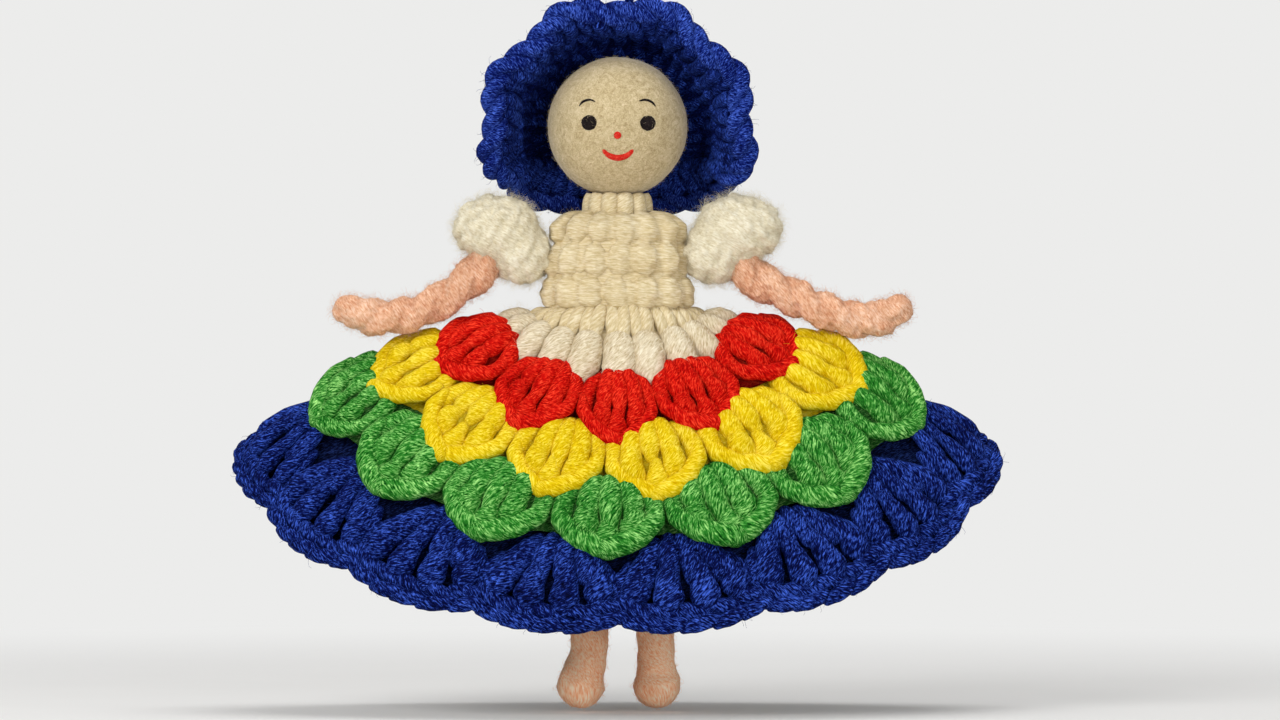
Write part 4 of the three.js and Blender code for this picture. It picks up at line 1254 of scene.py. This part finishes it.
# Arms: soft two-ply cords that turn up at the hands, drawn as (out, down, ahead) shares
arms = {"left": [(0.03, 0.1, 0), (0.138, 0.42, 0.3), (0.437, 0.862, 0.8), (0.717, 0.976, 1), (0.907, 0.876, 1)],
    "right": [(0.0, 0.12, 0), (0.07, 0.42, 0.2), (0.28, 0.65, 0.5), (0.467, 0.835, 0.8), (0.657, 0.976, 1),
        (0.82, 1.0, 1), (0.975, 0.865, 1)],
    "from": (20.905, -1, 83.9), "reach": 30, "fall": 14.5, "forward": 3, "pitch": 11, "steps": 60, "helix": 1.15,
    "fat": [(0, 2.8), (0.22, 2.45), (0.5, 2.2), (0.85, 2.25), (1, 2.45)], "voxel": 0.32,
    "fuzz": {"count": 3600, "length": (0.7, 2.2), "radius": 0.016, "lean": 0.87}}
for side, name in ((-1, "left"), (1, "right")):
    x0, y0, z0 = arms["from"]
    line = [Vector((side * (x0 + arms["reach"] * out), y0 - arms["forward"] * ahead, z0 - arms["fall"] * down))
        for out, down, ahead in arms[name]]
    length = sum((b - a).length for a, b in zip(line, line[1:]))
    routes = []
    for ply in (0, 1):
        route = []
        for step in range(arms["steps"] + 1):
            share = step / arms["steps"]
            centre = alongLine(line, share)
            heading = (alongLine(line, min(share + 0.02, 1)) - alongLine(line, max(share - 0.02, 0))).normalized()
            square = Vector((0, -1, 0))
            square = (square - heading * square.dot(heading)).normalized()
            other = heading.cross(square)
            spin = side * (wholeTurn * share * length / arms["pitch"]) + ply * pi
            near = fromShares([(0, 1), (0.85, 1), (1, 0.25)], share)
            place = centre + (square * cos(spin) + other * sin(spin)) * arms["helix"] * near
            lumps = 1 + 0.1 * noise(Vector((step * 0.35, ply * 3, side)))
            route.append((rowPlace(place), fromShares(arms["fat"], share) * lumps))
        routes.append(roundEnds(route))
    cord = softened(yarnTubes("arm", routes, (42, 14), sides=7), arms["voxel"], 3)
    roughened(cord, 0.4, 0.75)
    dress(cord, "peachGround")
    handFuzzy("arm_" + name + "_cord", [cord], cord, {**arms["fuzz"], "seed": 60 + side}, "peachYarn",
        "arm_" + name, "arm_" + name, "peach_yarn")

# Legs: felted, with rounded feet, drawn as (share down, share of the spread)
legs = {"left": [(0, 1), (0.37, 0.9), (0.74, 0.85), (0.9, 0.95), (1, 1.2)],
    "right": [(0, 1), (0.37, 1.16), (0.74, 1.22), (0.9, 1.25), (1, 1.28)],
    "spread": 5.5, "hip": 60.3, "foot": 4.3, "sole": 0.1,
    "radii": [(0, 3), (0.25, 3.4), (0.75, 3.4), (0.88, 3.7), (1, 4.3)],
    "fuzz": {"count": 1400, "length": (0.6, 1.7), "radius": 0.024, "lean": 0.9}}
for side, name in ((-1, "left"), (1, "right")):
    line = [Vector((side * legs["spread"] * across, 0, mix(legs["hip"], legs["foot"], down)))
        for down, across in legs[name]]
    route = strandOf(60, lambda share: (rowPlace(alongLine(line, share)), fromShares(legs["radii"], share)))
    leg = yarnTubes("leg", [route], (62, 21), sides=12)
    normals = [vertex.normal.copy() for vertex in leg.data.vertices]
    for vertex, normal in zip(leg.data.vertices, normals):
        spot = vertex.co / mm
        vertex.co += normal * (0.35 * noise(spot * 0.45) + 0.15 * noise(spot * 1.6) - 0.05) * mm
        vertex.co.z = max(vertex.co.z, rowPlace((0, 0, legs["sole"])).z)
    dress(leg, "legPaintedLightYarn")
    handFuzzy("leg_" + name + "_felt", [leg], leg, {**legs["fuzz"], "seed": 70 + side}, "legPaintedLightYarn",
        "leg_" + name, "leg_" + name, "peach_yarn")

# Inside the body: the closed bottom and the filling
base = {"bottom": 63.6, "lip": 70.9, "halfWidth": 10.2, "halfDepth": 5.4, "wall": 2}


def baseGround(place):
    x, y, z = place.normalized()
    turn, level = atan2(x, -y), acos(max(-1, min(1, z))) / pi
    outside = level > 0.5
    share = (level - 0.5) * 2 if outside else 1 - level * 2  # 0 at the lip and 1 at the middle of the bottom
    inset = 0 if outside else base["wall"]
    low = base["bottom"] + inset
    spread = min(1, 2.1 * (1 - share)) ** 0.5
    height = mix(low, base["lip"], max(0, 1 - 1.9 * share) ** 1.4)
    ridge = 0.25 * cos(turn * 16) * (1 if outside else 0) * spread
    across, deep = ((base[key] - inset + ridge) * spread for key in ("halfWidth", "halfDepth"))
    return rowPlace((across * sin(turn), -deep * cos(turn), height))


basePiece = moulded("body_base_cup", bpy.ops.mesh.primitive_uv_sphere_add, baseGround,
    segments=96, ring_count=40, radius=1)
dress(basePiece, "creamGround")
hand(basePiece, "torso", "body_base", "cream_yarn")

stuffing = {"foot": 66.2, "top": 88, "wide": [(0, 6), (0.2, 7.4), (0.4, 9.6), (0.75, 8), (0.93, 4), (1, 3)],
    "deep": [(0, 2.4), (0.2, 2.9), (0.4, 5.4), (0.75, 4.2), (0.93, 2.6), (1, 2)]}


def fillingAt(spot):
    a, b, c = spot.normalized()
    up = 0.5 + 0.5 * c
    wide, deep = fromShares(stuffing["wide"], up), fromShares(stuffing["deep"], up)
    flat = hypot(a, b) or 1
    ring = min(1, flat * 1.35)
    lump = 1 + 0.05 * noise(Vector((a, b, c)) * 3)
    height = mix(stuffing["foot"], stuffing["top"], up)
    return rowPlace((wide * a / flat * ring * lump, deep * b / flat * ring * lump, height))


filling = moulded("body_filling", bpy.ops.mesh.primitive_ico_sphere_add, fillingAt, subdivisions=4, radius=1)
dress(filling, "filling")
hand(filling, "torso", "body_stuffing", "fibre_filling")
print("inside")
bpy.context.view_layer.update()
triangles = {piece.name: sum(len(face.vertices) - 2 for face in piece.data.polygons)
    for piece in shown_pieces() if piece.type == "MESH"}
print("triangles", sum(triangles.values()), "most", max(triangles.items(), key=lambda pair: pair[1]))
